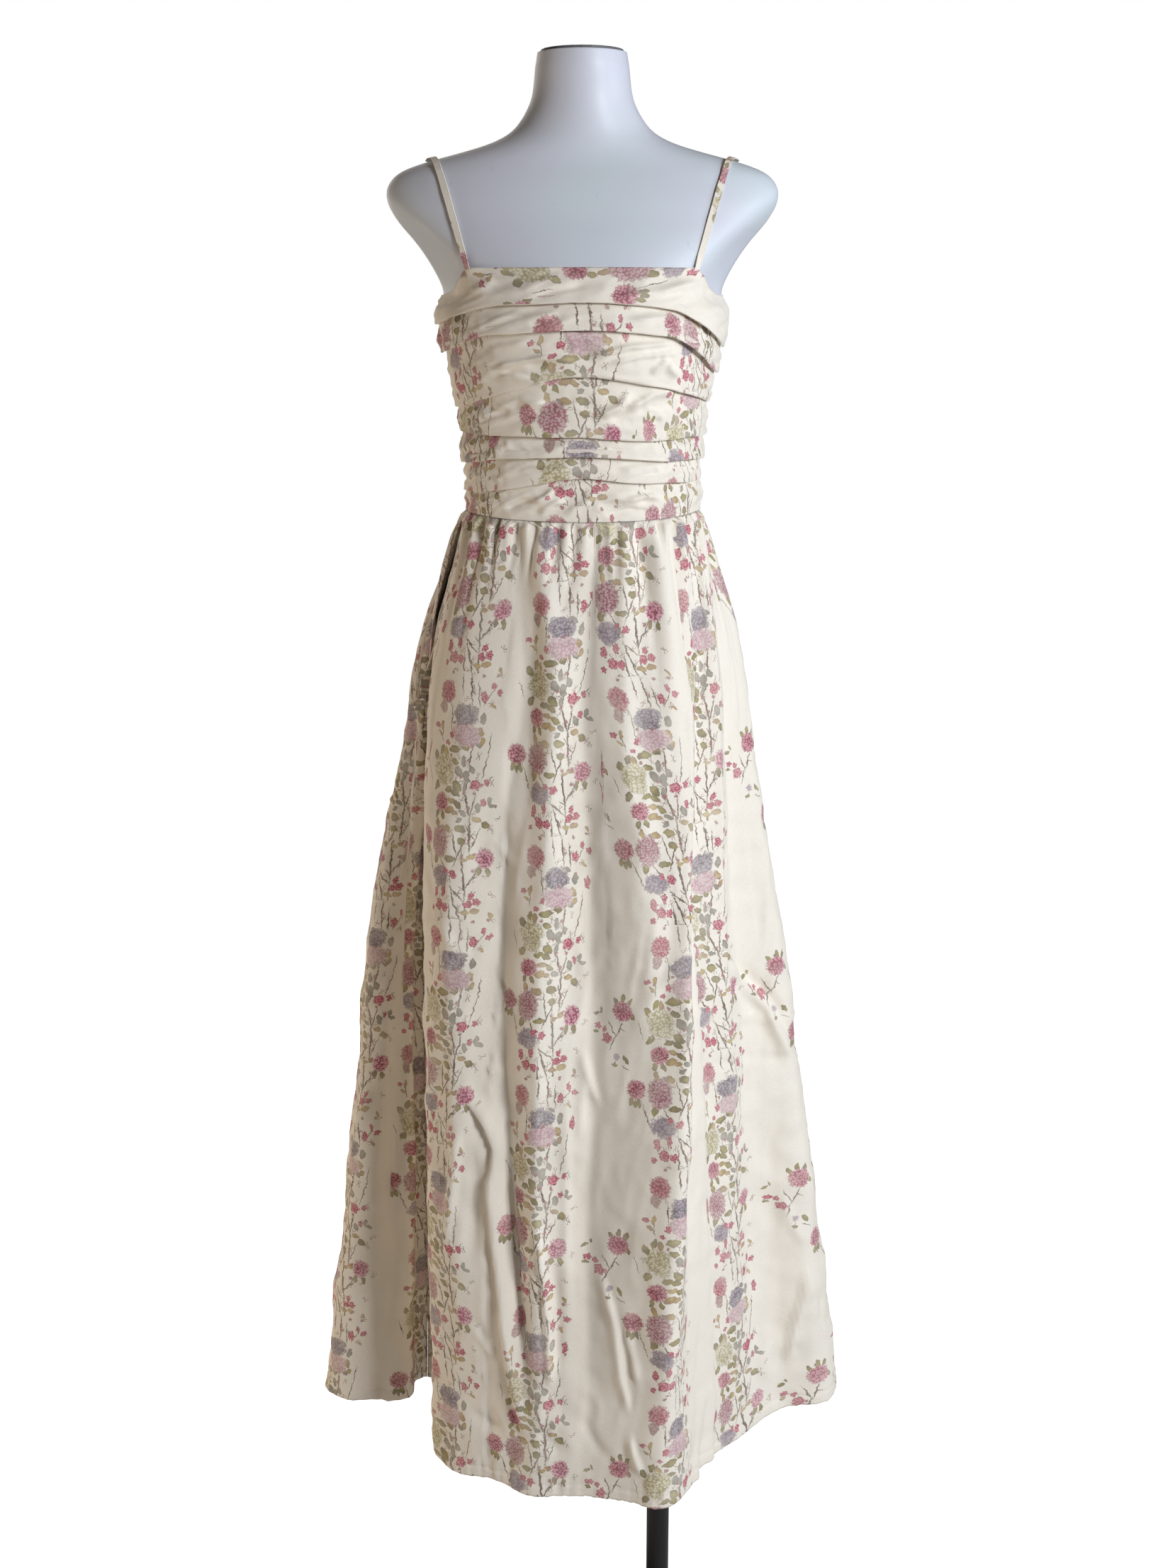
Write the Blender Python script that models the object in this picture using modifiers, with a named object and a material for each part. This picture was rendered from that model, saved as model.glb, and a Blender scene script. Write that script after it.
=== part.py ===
"""Long sundress on a limbless dress form with its stand, at real size.

Metres, +Z up, the front faces -Y, +X is the viewer's right. The origin is the centre of the
underside of the base plate. Every piece of cloth is a thin wall whose shape is worked out from
the sections of the form, the rows of pleats and the rows of skirt folds below.
"""
import math

import bmesh
import bpy
import numpy as np
from mathutils import Vector
from mathutils.bvhtree import BVHTree

# ---------------------------------------------------------------- driving dimensions (metres)
SEAM_GAP = 0.0003          # space kept between pieces that touch
CLOTH = 0.0012             # wall of the dress cloth
BODICE_LOW = 0.0026        # outer face of the bodice above the form, where it comes out from under a pleat
BODICE_HIGH = 0.0062       # the same at a pleat's lower edge
BODICE_FLAT = 0.0030       # the same on the plain back
SKIRT_STANDOFF = 0.0042    # outer face of the skirt above the form, from the seam to the hips

WAIST_Z = 1.425            # waist seam at the centre front
WAIST_RISE = 0.005         # how much higher the seam is at the sides
HEM_Z = 0.372
TOP_EDGE_Z = 1.672         # straight top edge between the straps
UNDERARM_Z = 1.647         # top of the bodice at the side seams
BACK_EDGE_Z = 1.640        # top of the bodice at the centre back

STRAP_WIDTH = 0.0068
STRAP_THICKNESS = 0.0014
STRAP_FRONT_X = 0.109
STRAP_SHOULDER_X = 0.156
STRAP_BACK_X = 0.096
STRAP_CLEARANCE = 0.0016
STRAP_LIFT = 0.0012        # from the bodice's top edge to a strap's end
SHOULDER_Z = 1.775         # where the straps cross the shoulders
STRAP_CREST_Z = 1.800      # height from which they are drawn tight

POLE_X = 0.0905
POLE_RADIUS = 0.0135
COLLAR_RADIUS = 0.021
COLLAR_HEIGHT = 0.032
BASE_RADIUS = 0.160
BASE_THICKNESS = 0.008
EDGE_BEVEL = 0.0015
NECK_CAP_RADIUS = 0.0415
NECK_CAP_THICKNESS = 0.0025

# ---------------------------------------------------------------- sections of the dress form
# Horizontal sections from the flat underside to the neck. Each is a rounded rectangle ("square"
# is 2 for an ellipse) round centre_y, cut at the sides by the faces where arms would begin,
# arm_cut from the middle.
NO_CUT = 0.300
ARM_CUT_SLANT = math.radians(22)
ARM_CUT_EDGE = 24
FORM_COLUMNS = ("z", "half_width", "front", "back", "centre_y", "square", "arm_cut")
FORM_SECTIONS = (
    (1.080, 0.142, 0.096, 0.104, 0.002, 2.2, NO_CUT),
    (1.150, 0.149, 0.104, 0.115, 0.002, 2.2, NO_CUT),
    (1.230, 0.152, 0.108, 0.118, 0.002, 2.2, NO_CUT),
    (1.300, 0.145, 0.104, 0.109, 0.002, 2.2, NO_CUT),
    (1.360, 0.131, 0.098, 0.095, 0.001, 2.2, NO_CUT),
    (1.425, 0.1175, 0.091, 0.084, 0.000, 2.2, NO_CUT),
    (1.478, 0.1190, 0.096, 0.088, 0.000, 2.2, NO_CUT),
    (1.530, 0.1240, 0.107, 0.098, 0.000, 2.2, NO_CUT),
    (1.582, 0.1345, 0.122, 0.106, 0.000, 2.2, NO_CUT),
    (1.612, 0.1430, 0.126, 0.108, 0.000, 2.2, 0.200),
    (1.630, 0.1445, 0.123, 0.108, 0.000, 2.2, 0.165),
    (1.647, 0.1460, 0.117, 0.107, 0.000, 2.2, 0.1440),
    (1.660, 0.1540, 0.112, 0.106, 0.001, 2.2, 0.1470),
    (1.672, 0.1640, 0.107, 0.104, 0.001, 2.2, 0.1525),
    (1.697, 0.1870, 0.095, 0.099, 0.002, 2.2, 0.1685),
    (1.722, 0.1980, 0.083, 0.091, 0.004, 2.2, 0.1935),
    (1.739, 0.2010, 0.076, 0.085, 0.005, 2.2, 0.2100),
    (1.755, 0.1965, 0.069, 0.077, 0.006, 2.1, NO_CUT),
    (1.769, 0.1835, 0.061, 0.066, 0.006, 2.1, NO_CUT),
    (1.777, 0.1590, 0.057, 0.061, 0.006, 2.0, NO_CUT),
    (1.785, 0.1200, 0.055, 0.057, 0.005, 2.0, NO_CUT),
    (1.793, 0.0920, 0.053, 0.055, 0.004, 2.0, NO_CUT),
    (1.801, 0.0750, 0.052, 0.054, 0.003, 2.0, NO_CUT),
    (1.810, 0.0650, 0.051, 0.053, 0.002, 2.0, NO_CUT),
    (1.820, 0.0590, 0.050, 0.052, 0.001, 2.0, NO_CUT),
    (1.832, 0.0515, 0.048, 0.050, -0.001, 2.0, NO_CUT),
    (1.848, 0.0485, 0.047, 0.047, -0.004, 2.0, NO_CUT),
    (1.874, 0.0455, 0.045, 0.045, -0.008, 2.0, NO_CUT),
    (1.878, 0.0435, 0.043, 0.043, -0.008, 2.0, NO_CUT),
)
FORM_SEGMENTS = 36
FORM_ROW_STEP = 0.034      # greatest height between two rings of the torso

# ---------------------------------------------------------------- pleats of the bodice front
# Height of each pleat's lower edge, at five places from the left side seam to the right one.
PLEAT_STATIONS = (-1.0, -0.5, 0.0, 0.5, 1.0)
PLEAT_EDGES = (
    # name, left_seam, left, centre, right, right_seam
    ("top_band", 1.618, 1.636, 1.639, 1.634, 1.596),
    ("second", 1.590, 1.610, 1.613, 1.608, 1.570),
    ("drape", 1.536, 1.555, 1.569, 1.560, 1.542),
    ("crisp", 1.513, 1.512, 1.510, 1.507, 1.509),
    ("fifth", 1.481, 1.489, 1.491, 1.487, 1.485),
    ("lowest", 1.451, 1.459, 1.470, 1.464, 1.464),
)
BODICE_SEGMENTS = 26
BACK_SEGMENTS = 22
BACK_ROWS = (0.0, 0.035, 0.08, 0.14, 0.24, 0.36, 0.50, 0.66, 0.83, 1.0)

# ---------------------------------------------------------------- folds of the skirt
# The hem's outline counter-clockwise from the left side seam by way of the front, with the place
# round the waist (degrees, 270 is the centre front) from which each point of the hem hangs.
SKIRT_FOLDS = (
    # name, waist_deg, hem_x, hem_y
    ("left_seam_in_valley", 180, -0.190, 0.050),
    ("valley_wall", 182.5, -0.166, 0.020),
    ("front_lobe_edge", 192, -0.161, -0.119),
    ("front_lobe_corner", 204, -0.146, -0.134),
    ("front_lobe_left", 227, -0.110, -0.152),
    ("front_left", 246, -0.068, -0.177),
    ("front_centre", 264, -0.019, -0.185),
    ("front_right", 292, 0.050, -0.191),
    ("ridge_before", 322, 0.090, -0.198),
    ("ridge", 330, 0.112, -0.177),
    ("ridge_after", 338, 0.142, -0.119),
    ("right_slope", 343, 0.168, -0.088),
    ("right_flat", 351, 0.238, -0.014),
    ("right_lobe", 355, 0.290, 0.002),
    ("right_side", 358, 0.306, 0.034),
    ("right_seam", 360, 0.298, 0.064),
    ("back_lobe_1", 370, 0.262, 0.114),
    ("back_valley_1", 381, 0.222, 0.122),
    ("back_rise_2", 392, 0.194, 0.152),
    ("back_lobe_2", 404, 0.158, 0.196),
    ("back_lobe_2_end", 415, 0.114, 0.210),
    ("back_valley_2", 425, 0.080, 0.182),
    ("back_rise_3", 435, 0.042, 0.188),
    ("back_lobe_3", 446, 0.008, 0.222),
    ("back_lobe_3_end", 458, -0.042, 0.230),
    ("back_fall_3", 468, -0.082, 0.206),
    ("back_valley_3", 478, -0.110, 0.172),
    ("back_rise_4", 488, -0.146, 0.180),
    ("back_lobe_4", 499, -0.186, 0.184),
    ("back_fall_4", 507, -0.216, 0.152),
    ("back_valley_4", 514, -0.246, 0.112),
    ("left_lobe_back", 520, -0.286, 0.090),
    ("left_side", 525, -0.310, 0.052),
    ("left_lobe_front", 529, -0.296, 0.010),
    ("left_lobe_face", 532, -0.248, 0.002),
    ("left_lobe_edge", 535, -0.208, 0.010),
    ("valley_back_wall", 537.5, -0.206, 0.038),
)
SWAY = 0.008               # how far the middle of the skirt hangs over to the left
SWAY_RISE = 0.7            # below 1 the sway is greatest above the middle
HIP_Z = 1.230              # fullest part of the form, below which the skirt hangs free
# share of the skirt's length, share of the way from the form to the hem's outline
SPREAD = ((0.0, 0.0), (0.10, 0.11), (0.21, 0.20), (0.46, 0.525), (0.70, 0.73), (1.0, 1.0))
GATHERS = 31               # gathers round the waist
GATHER_SEAM = 0.0007       # their depth in the seam
GATHER_DEPTH = 0.0023      # their greatest depth
GATHER_PEAK = 0.030        # where they are deepest, as a share of the skirt's length
GATHER_FADE = 0.07         # how slowly they die out below that
NUDGE = 0.002              # step along the hem for finding which way the cloth faces
COLUMN_DRAFT = 40          # trial columns for each real one when the columns are spaced
SKIRT_ROWS = (0.0, 0.012, 0.032, 0.065, 0.11, 0.17, 0.26, 0.38, 0.55, 0.77, 1.0)
SEAM_STRIP = 0.004         # narrow first and last columns, so that a seam's walls end square
FRONT_COLUMNS = 58
REAR_COLUMNS = 76

# Colours of the plain materials: linear red, green, blue, then roughness and metallic value.
MATERIALS = {
    "print_cloth": ((0.78, 0.72, 0.60), 0.85, 0.0),
    "form_plastic": ((0.72, 0.75, 0.80), 0.25, 0.0),
    "cap_plastic": ((0.16, 0.16, 0.17), 0.45, 0.0),
    "stand_steel": ((0.012, 0.012, 0.013), 0.35, 1.0),
}


# ---------------------------------------------------------------- small tools
def monotone(xs, ys, x):
    """Smooth curve through the points (xs, ys) that never overshoots them, at x."""
    xs, ys = np.asarray(xs, float), np.asarray(ys, float)
    x = np.clip(np.asarray(x, float), xs[0], xs[-1])
    step = np.diff(xs)
    slope = np.diff(ys) / step
    tangent = np.zeros_like(ys)
    turning = slope[:-1] * slope[1:] > 0
    weight_a, weight_b = 2 * step[1:] + step[:-1], step[1:] + 2 * step[:-1]
    safe = np.where(turning, slope[:-1] * slope[1:], 1.0)
    harmonic = (weight_a + weight_b) * safe / (weight_a * slope[1:] + weight_b * slope[:-1] + (~turning))
    tangent[1:-1] = np.where(turning, harmonic, 0.0)
    tangent[0], tangent[-1] = slope[0], slope[-1]
    i = np.clip(np.searchsorted(xs, x, side="right") - 1, 0, len(step) - 1)
    h, u = step[i], (x - xs[i]) / step[i]
    return (ys[i] * (1 + 2 * u) * (1 - u) ** 2 + tangent[i] * h * u * (1 - u) ** 2
            + ys[i + 1] * u * u * (3 - 2 * u) + tangent[i + 1] * h * u * u * (u - 1))


def section(z):
    """The form's section at height z, as a dict by column name."""
    heights = [row[0] for row in FORM_SECTIONS]
    return {name: monotone(heights, [row[k] for row in FORM_SECTIONS], z)
            for k, name in enumerate(FORM_COLUMNS)}


def form_ring(z, turn, standoff=0.0):
    """Points (x, y) on the form's section at height z, moved out level; turn is in radians, 0 at +X."""
    cut = section(z)
    c, s = np.cos(turn), np.sin(turn)
    depth = np.where(s < 0, cut["front"], cut["back"])
    power = 2 / cut["square"]
    x = cut["half_width"] * np.sign(c) * np.abs(c) ** power
    y = depth * np.sign(s) * np.abs(s) ** power
    radius = np.hypot(x, y)
    face = (cut["arm_cut"] * math.cos(ARM_CUT_SLANT) * radius
            / (np.abs(x) * math.cos(ARM_CUT_SLANT) + np.abs(y) * math.sin(ARM_CUT_SLANT)))
    share = (1 + (radius / face) ** ARM_CUT_EDGE) ** (-1 / ARM_CUT_EDGE)
    normal = np.stack([c / cut["half_width"], s / depth], axis=-1)
    normal /= np.linalg.norm(normal, axis=-1, keepdims=True)
    surface = np.stack([x * share, y * share + cut["centre_y"]], axis=-1)
    return surface + normal * np.asarray(standoff)[..., None]


def waist_seam(turn):
    """Height of the waist seam at the place turn (radians) round the waist."""
    return WAIST_Z + WAIST_RISE * np.cos(turn) ** 2


# ---------------------------------------------------------------- making objects
def material(slot):
    """The Principled material of a slot, made once."""
    if slot in bpy.data.materials:
        return bpy.data.materials[slot]
    colour, roughness, metallic = MATERIALS[slot]
    made = bpy.data.materials.new(slot)
    made.use_nodes = True
    shader = made.node_tree.nodes["Principled BSDF"]
    shader.inputs["Base Color"].default_value = (*colour, 1.0)
    shader.inputs["Roughness"].default_value = roughness
    shader.inputs["Metallic"].default_value = metallic
    made.diffuse_color = (*colour, 1.0)
    return made


def place(obj, slot, collection, root):
    """Give the object its material, put it in the collection and parent it to the empty."""
    obj.data.materials.clear()
    obj.data.materials.append(material(slot))
    for other in list(obj.users_collection):
        other.objects.unlink(obj)
    collection.objects.link(obj)
    obj.parent = root
    return obj


def grid_object(name, grid, closed=False, caps=False):
    """Mesh object over a grid of points (rows, columns, 3), its faces pointing out when rows go down."""
    rows, columns = grid.shape[:2]
    mesh = bmesh.new()
    points = [[mesh.verts.new(grid[r, c]) for c in range(columns)] for r in range(rows)]
    for r in range(rows - 1):
        for c in range(columns if closed else columns - 1):
            after = (c + 1) % columns
            mesh.faces.new((points[r][c], points[r + 1][c], points[r + 1][after], points[r][after]))
    if caps:
        mesh.faces.new(points[0])
        mesh.faces.new(points[-1][::-1])
    data = bpy.data.meshes.new(name)
    mesh.to_mesh(data)
    mesh.free()
    data.shade_smooth()
    return bpy.data.objects.new(name, data)


def solidify(obj, thickness):
    """Give an open surface a wall that grows inwards from it."""
    wall = obj.modifiers.new("wall", "SOLIDIFY")
    wall.thickness = thickness
    wall.offset = -1.0
    return obj


def bevel(obj, width, segments):
    """Round the sharp edges of an object."""
    edge = obj.modifiers.new("edge", "BEVEL")
    edge.width = width
    edge.segments = segments
    edge.limit_method = "ANGLE"
    return obj


def cylinder(name, radius, bottom, top, x, sides):
    """Upright cylinder between two heights."""
    bpy.ops.mesh.primitive_cylinder_add(vertices=sides, radius=radius, depth=top - bottom,
                                        location=(x, 0.0, (bottom + top) / 2))
    obj = bpy.context.object
    obj.name = name
    obj.data.name = name
    return obj


def ring_collar(name, inner, outer, bottom, height, x, sides):
    """Turned collar: a rectangle run round the pole's axis with a Screw modifier."""
    mesh = bmesh.new()
    corners = [mesh.verts.new((r, 0.0, z)) for r, z in
               ((inner, 0.0), (inner, height), (outer, height), (outer, 0.0))]
    for i in range(4):
        mesh.edges.new((corners[i], corners[(i + 1) % 4]))
    data = bpy.data.meshes.new(name)
    mesh.to_mesh(data)
    mesh.free()
    obj = bpy.data.objects.new(name, data)
    obj.location = (x, 0.0, bottom)
    turn = obj.modifiers.new("turn", "SCREW")
    turn.steps = turn.render_steps = sides
    turn.use_merge_vertices = True
    turn.merge_threshold = 0.00005
    return obj


# ---------------------------------------------------------------- the dress form and its stand
def form_torso():
    """Closed torso lofted through its sections, from the neck down to the flat underside."""
    turn = np.linspace(0, 2 * math.pi, FORM_SEGMENTS, endpoint=False)
    heights = [FORM_SECTIONS[-1][0]]
    for row in reversed(FORM_SECTIONS[:-1]):
        parts = math.ceil((heights[-1] - row[0]) / FORM_ROW_STEP)
        heights.extend(np.linspace(heights[-1], row[0], parts + 1)[1:])
    grid = np.array([[(*xy, z) for xy in form_ring(z, turn)] for z in heights])
    return grid_object("form_torso", grid, closed=True, caps=True)


def neck_cap():
    """Thin disc that closes the top of the neck."""
    neck_top = FORM_SECTIONS[-1][0]
    bottom = neck_top + SEAM_GAP
    obj = cylinder("neck_cap", NECK_CAP_RADIUS, bottom, bottom + NECK_CAP_THICKNESS, 0.0, 28)
    obj.location.y = section(neck_top)["centre_y"]
    return bevel(obj, EDGE_BEVEL / 2, 1)


def stand(form_bottom):
    """Base plate, the two collars and the pole."""
    plate = bevel(cylinder("base_plate", BASE_RADIUS, 0.0, BASE_THICKNESS, 0.0, 56), EDGE_BEVEL, 1)
    foot = BASE_THICKNESS + SEAM_GAP
    head = form_bottom - SEAM_GAP
    pole = cylinder("pole", POLE_RADIUS, foot, head, POLE_X, 24)
    bore = POLE_RADIUS + SEAM_GAP
    low = ring_collar("base_collar", bore, COLLAR_RADIUS, foot, COLLAR_HEIGHT, POLE_X, 24)
    high = ring_collar("form_collar", bore, COLLAR_RADIUS, head - COLLAR_HEIGHT, COLLAR_HEIGHT,
                       POLE_X, 24)
    return [plate, low, pole, high]


# ---------------------------------------------------------------- the bodice
def top_edge(turn):
    """Height of the bodice's top edge: level at the front, lower under the arms, level at the back."""
    across = np.cos(turn)
    strap = STRAP_FRONT_X / section(TOP_EDGE_Z)["half_width"]
    front = monotone((strap, 1.0), (TOP_EDGE_Z, UNDERARM_Z), np.abs(across))
    back = UNDERARM_Z + (BACK_EDGE_Z - UNDERARM_Z) * np.sin(turn) ** 2
    return np.where(np.sin(turn) <= 0, front, back)


def pleat_heights(turn):
    """Heights from the top edge, by the pleats' lower edges, to the waist seam, one row each."""
    across = np.cos(turn)
    edges = [monotone(PLEAT_STATIONS, row[1:], across) for row in PLEAT_EDGES]
    return [top_edge(turn), *edges, waist_seam(turn) + SEAM_GAP]


def seam_inset():
    """Half the gap at a side seam, as an angle round the bodice."""
    return SEAM_GAP / (2 * float(section(UNDERARM_Z)["half_width"]))


def bodice_front():
    """Front bodice: each strip leans out to its pleat's lower edge and the next starts behind it."""
    inset = seam_inset()
    turn = np.linspace(math.pi + inset, 2 * math.pi - inset, BODICE_SEGMENTS)
    heights = pleat_heights(turn)
    rows = []
    for upper, lower in zip(heights[:-1], heights[1:]):
        last = lower is heights[-1]
        edge_out = (BODICE_LOW + BODICE_HIGH) / 2 if last else BODICE_HIGH
        for share in (0.0, 0.5, 1.0):
            z = upper + (lower - upper) * share
            out = BODICE_LOW + (edge_out - BODICE_LOW) * share
            rows.append(np.column_stack([form_ring(z, turn, np.full(len(turn), out)), z]))
    return solidify(grid_object("bodice_front", np.array(rows)), CLOTH)


def bodice_back():
    """Back bodice: one plain fitted wall."""
    inset = seam_inset()
    turn = np.linspace(inset, math.pi - inset, BACK_SEGMENTS)
    upper, lower = top_edge(turn), waist_seam(turn) + SEAM_GAP
    rows = []
    for share in BACK_ROWS:
        z = upper + (lower - upper) * share
        rows.append(np.column_stack([form_ring(z, turn, np.full(len(turn), BODICE_FLAT)), z]))
    return solidify(grid_object("bodice_back", np.array(rows)), CLOTH)


# ---------------------------------------------------------------- the straps
def surface_tree(obj):
    """Search tree over an object's own faces."""
    return BVHTree.FromPolygons([v.co for v in obj.data.vertices],
                                [p.vertices for p in obj.data.polygons])


def strap_end(x, z, front):
    """Where a strap meets the bodice's top edge."""
    across = abs(x) / float(section(z)["half_width"])
    turn = -math.acos(across) if front else math.acos(across)
    xy = form_ring(z, np.array([turn]), np.array([STRAP_CLEARANCE + STRAP_THICKNESS / 2]))[0]
    return np.array([math.copysign(xy[0], x), xy[1], z])


def taut_path(tree, start, crest, end, points=37, rounds=300):
    """Line drawn tight over the form from start by the crest to end, held sideways by friction."""
    share = np.linspace(0.0, 1.0, points)[:, None]
    half = share < 0.5
    line = np.where(half, start + (crest - start) * share * 2, crest + (end - crest) * (share * 2 - 1))
    sideways = line[:, 0].copy()
    reach = STRAP_CLEARANCE + STRAP_THICKNESS / 2
    for _ in range(rounds):
        line[1:-1] += 0.5 * ((line[:-2] + line[2:]) / 2 - line[1:-1])
        line[:, 0] = sideways
        for i in range(1, points - 1):
            near, normal, _, _ = tree.find_nearest(Vector(line[i]))
            gap = (Vector(line[i]) - near).dot(normal)
            if gap < reach:
                line[i] += np.array(normal) * (reach - gap)
    return line


def strap(name, side, form):
    """One narrow flat strap from the bodice's front edge over the shoulder to its back edge."""
    tree = surface_tree(form)
    start = strap_end(side * STRAP_FRONT_X, TOP_EDGE_Z + STRAP_LIFT, True)
    back_turn = math.acos(STRAP_BACK_X / float(section(BACK_EDGE_Z)["half_width"]))
    back_z = float(top_edge(np.array([back_turn]))[0]) + STRAP_LIFT
    end = strap_end(side * STRAP_BACK_X, back_z, False)
    crest = np.array([side * STRAP_SHOULDER_X, section(SHOULDER_Z)["centre_y"], STRAP_CREST_Z])
    line = taut_path(tree, start, crest, end)
    along = np.gradient(line, axis=0)
    along /= np.linalg.norm(along, axis=1, keepdims=True)
    out = np.array([np.array(tree.find_nearest(Vector(p))[1]) for p in line])
    across = np.cross(along, out)
    across /= np.linalg.norm(across, axis=1, keepdims=True)
    out = np.cross(across, along)
    face = line + out * STRAP_THICKNESS / 2
    grid = np.stack([face + across * STRAP_WIDTH / 2, face - across * STRAP_WIDTH / 2], axis=1)
    return solidify(grid_object(name, grid), STRAP_THICKNESS)


# ---------------------------------------------------------------- the skirt
def hem_lengths():
    """Distance along the hem from the left seam to each fold's point, and the whole way round."""
    points = np.array([row[2:] for row in SKIRT_FOLDS])
    steps = np.linalg.norm(np.roll(points, -1, axis=0) - points, axis=1)
    return np.concatenate([[0.0], np.cumsum(steps)])


def hem_outline(length):
    """Points (x, y) of the hem at distances along it: a smooth closed curve through the folds."""
    knots = hem_lengths()
    points = np.array([row[2:] for row in SKIRT_FOLDS])
    count = len(points)
    around = np.mod(length, knots[-1])
    i = np.clip(np.searchsorted(knots, around, side="right") - 1, 0, count - 1)
    step = np.diff(knots)
    before, here = points[(i - 1) % count], points[i % count]
    after, beyond = points[(i + 1) % count], points[(i + 2) % count]
    h = step[i][:, None]
    h_before, h_beyond = step[(i - 1) % count][:, None], step[(i + 1) % count][:, None]
    leave = ((here - before) / h_before * h + (after - here) / h * h_before) / (h + h_before)
    arrive = ((after - here) / h * h_beyond + (beyond - after) / h_beyond * h) / (h + h_beyond)
    u = ((around - knots[i]) / step[i])[:, None]
    return (here * (1 + 2 * u) * (1 - u) ** 2 + leave * h * u * (1 - u) ** 2
            + after * u * u * (3 - 2 * u) + arrive * h * u * u * (u - 1))


def waist_turn(length):
    """Place round the waist (radians) from which the hem point at this length hangs."""
    knots = hem_lengths()
    degrees = [row[1] for row in SKIRT_FOLDS] + [SKIRT_FOLDS[0][1] + 360]
    return np.radians(monotone(knots, degrees, length))


def skirt_base(length, share):
    """Skirt points (x, y, z) before the gathers, share of the way from the waist seam to the hem."""
    turn = waist_turn(length)
    top = waist_seam(turn)
    z = top + (HEM_Z - top) * share
    over_form = form_ring(np.maximum(z, HIP_Z), turn, np.full(len(turn), SKIRT_STANDOFF))
    spread = monotone(*zip(*SPREAD), share)
    xy = over_form + (hem_outline(length) - over_form) * spread
    xy[:, 0] -= SWAY * math.sin(math.pi * share ** SWAY_RISE) ** 2
    return np.column_stack([xy, z])


def gathers(turn, share):
    """Depth of the fine gathers below the waist seam; they die out down the skirt."""
    wave = np.cos(GATHERS * turn + 1.1 * np.sin(3 * turn) + 0.8 * np.sin(7 * turn + 1.0))
    uneven = 0.75 + 0.25 * np.sin(5 * turn + 0.6)
    rise = min(share / GATHER_PEAK, 1.0)
    fall = math.exp(-max(share - GATHER_PEAK, 0.0) / GATHER_FADE)
    depth = (GATHER_SEAM + (GATHER_DEPTH - GATHER_SEAM) * rise) * fall
    return wave * uneven * depth


def skirt_row(length, share):
    """One level row of skirt points with its gathers."""
    base = skirt_base(length, share)
    whole = hem_lengths()[-1]
    along = (skirt_base(np.minimum(length + NUDGE, whole), share)
             - skirt_base(np.maximum(length - NUDGE, 0.0), share))
    out = np.column_stack([along[:, 1], -along[:, 0]])
    out /= np.linalg.norm(out, axis=1, keepdims=True)
    base[:, :2] += out * gathers(waist_turn(length), share)[:, None]
    return base


def column_lengths(start, end, columns):
    """Distances along the hem for a panel's columns, spaced by both the waist and the hem."""
    fine = np.linspace(start, end, COLUMN_DRAFT * columns)
    crowding = (fine / hem_lengths()[-1] + waist_turn(fine) / (2 * math.pi)) / 2
    return np.interp(np.linspace(crowding[0], crowding[-1], columns), crowding, fine)


def skirt_panel(name, start, end, columns):
    """One skirt panel between two side seams, its edges half a gap short of them."""
    between = column_lengths(start + SEAM_STRIP, end - SEAM_STRIP, columns)
    length = np.concatenate([[start], between, [end]])
    grid = np.array([skirt_row(length, share) for share in SKIRT_ROWS])
    for edge, inside in ((0, 1), (-1, -2)):
        inwards = grid[:, inside] - grid[:, edge]
        grid[:, edge] += inwards / np.linalg.norm(inwards, axis=1, keepdims=True) * SEAM_GAP / 2
    return solidify(grid_object(name, grid), CLOTH)


def skirt():
    """Front and back panels, parted at the two side seams."""
    knots = hem_lengths()
    names = [row[0] for row in SKIRT_FOLDS]
    right = knots[names.index("right_seam")]
    return [skirt_panel("skirt_front", 0.0, right, FRONT_COLUMNS),
            skirt_panel("skirt_back", right, knots[-1], REAR_COLUMNS)]


# ---------------------------------------------------------------- the whole
def main():
    """Build every piece under one empty at the origin."""
    for old in list(bpy.data.objects):
        bpy.data.objects.remove(old, do_unlink=True)
    collection = bpy.data.collections.new("sundress_on_dress_form")
    bpy.context.scene.collection.children.link(collection)
    root = bpy.data.objects.new("sundress_origin", None)
    collection.objects.link(root)

    torso = form_torso()
    place(torso, "form_plastic", collection, root)
    place(neck_cap(), "cap_plastic", collection, root)
    for piece in stand(FORM_SECTIONS[0][0]):
        place(piece, "stand_steel", collection, root)
    cloth = [bodice_front(), bodice_back(), *skirt()]
    cloth += [strap("strap_left", -1, torso), strap("strap_right", 1, torso)]
    for piece in cloth:
        place(piece, "print_cloth", collection, root)


main()
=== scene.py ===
"""Looks of a long floral sundress on a limbless dress form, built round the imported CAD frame.

Everything is in metres in the frame's own axes: +Z up, the front faces -Y, +X is the viewer's right.
The cloth is made of thin shells over the same sections, pleats and skirt folds as the CAD solids, with
the finer gathers, folds and creases added, and the floral print is drawn by one node group from the
cloth's own flat coordinates.
"""
import math

import bpy
import numpy as np
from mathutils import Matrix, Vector
from mathutils.bvhtree import BVHTree

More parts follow.
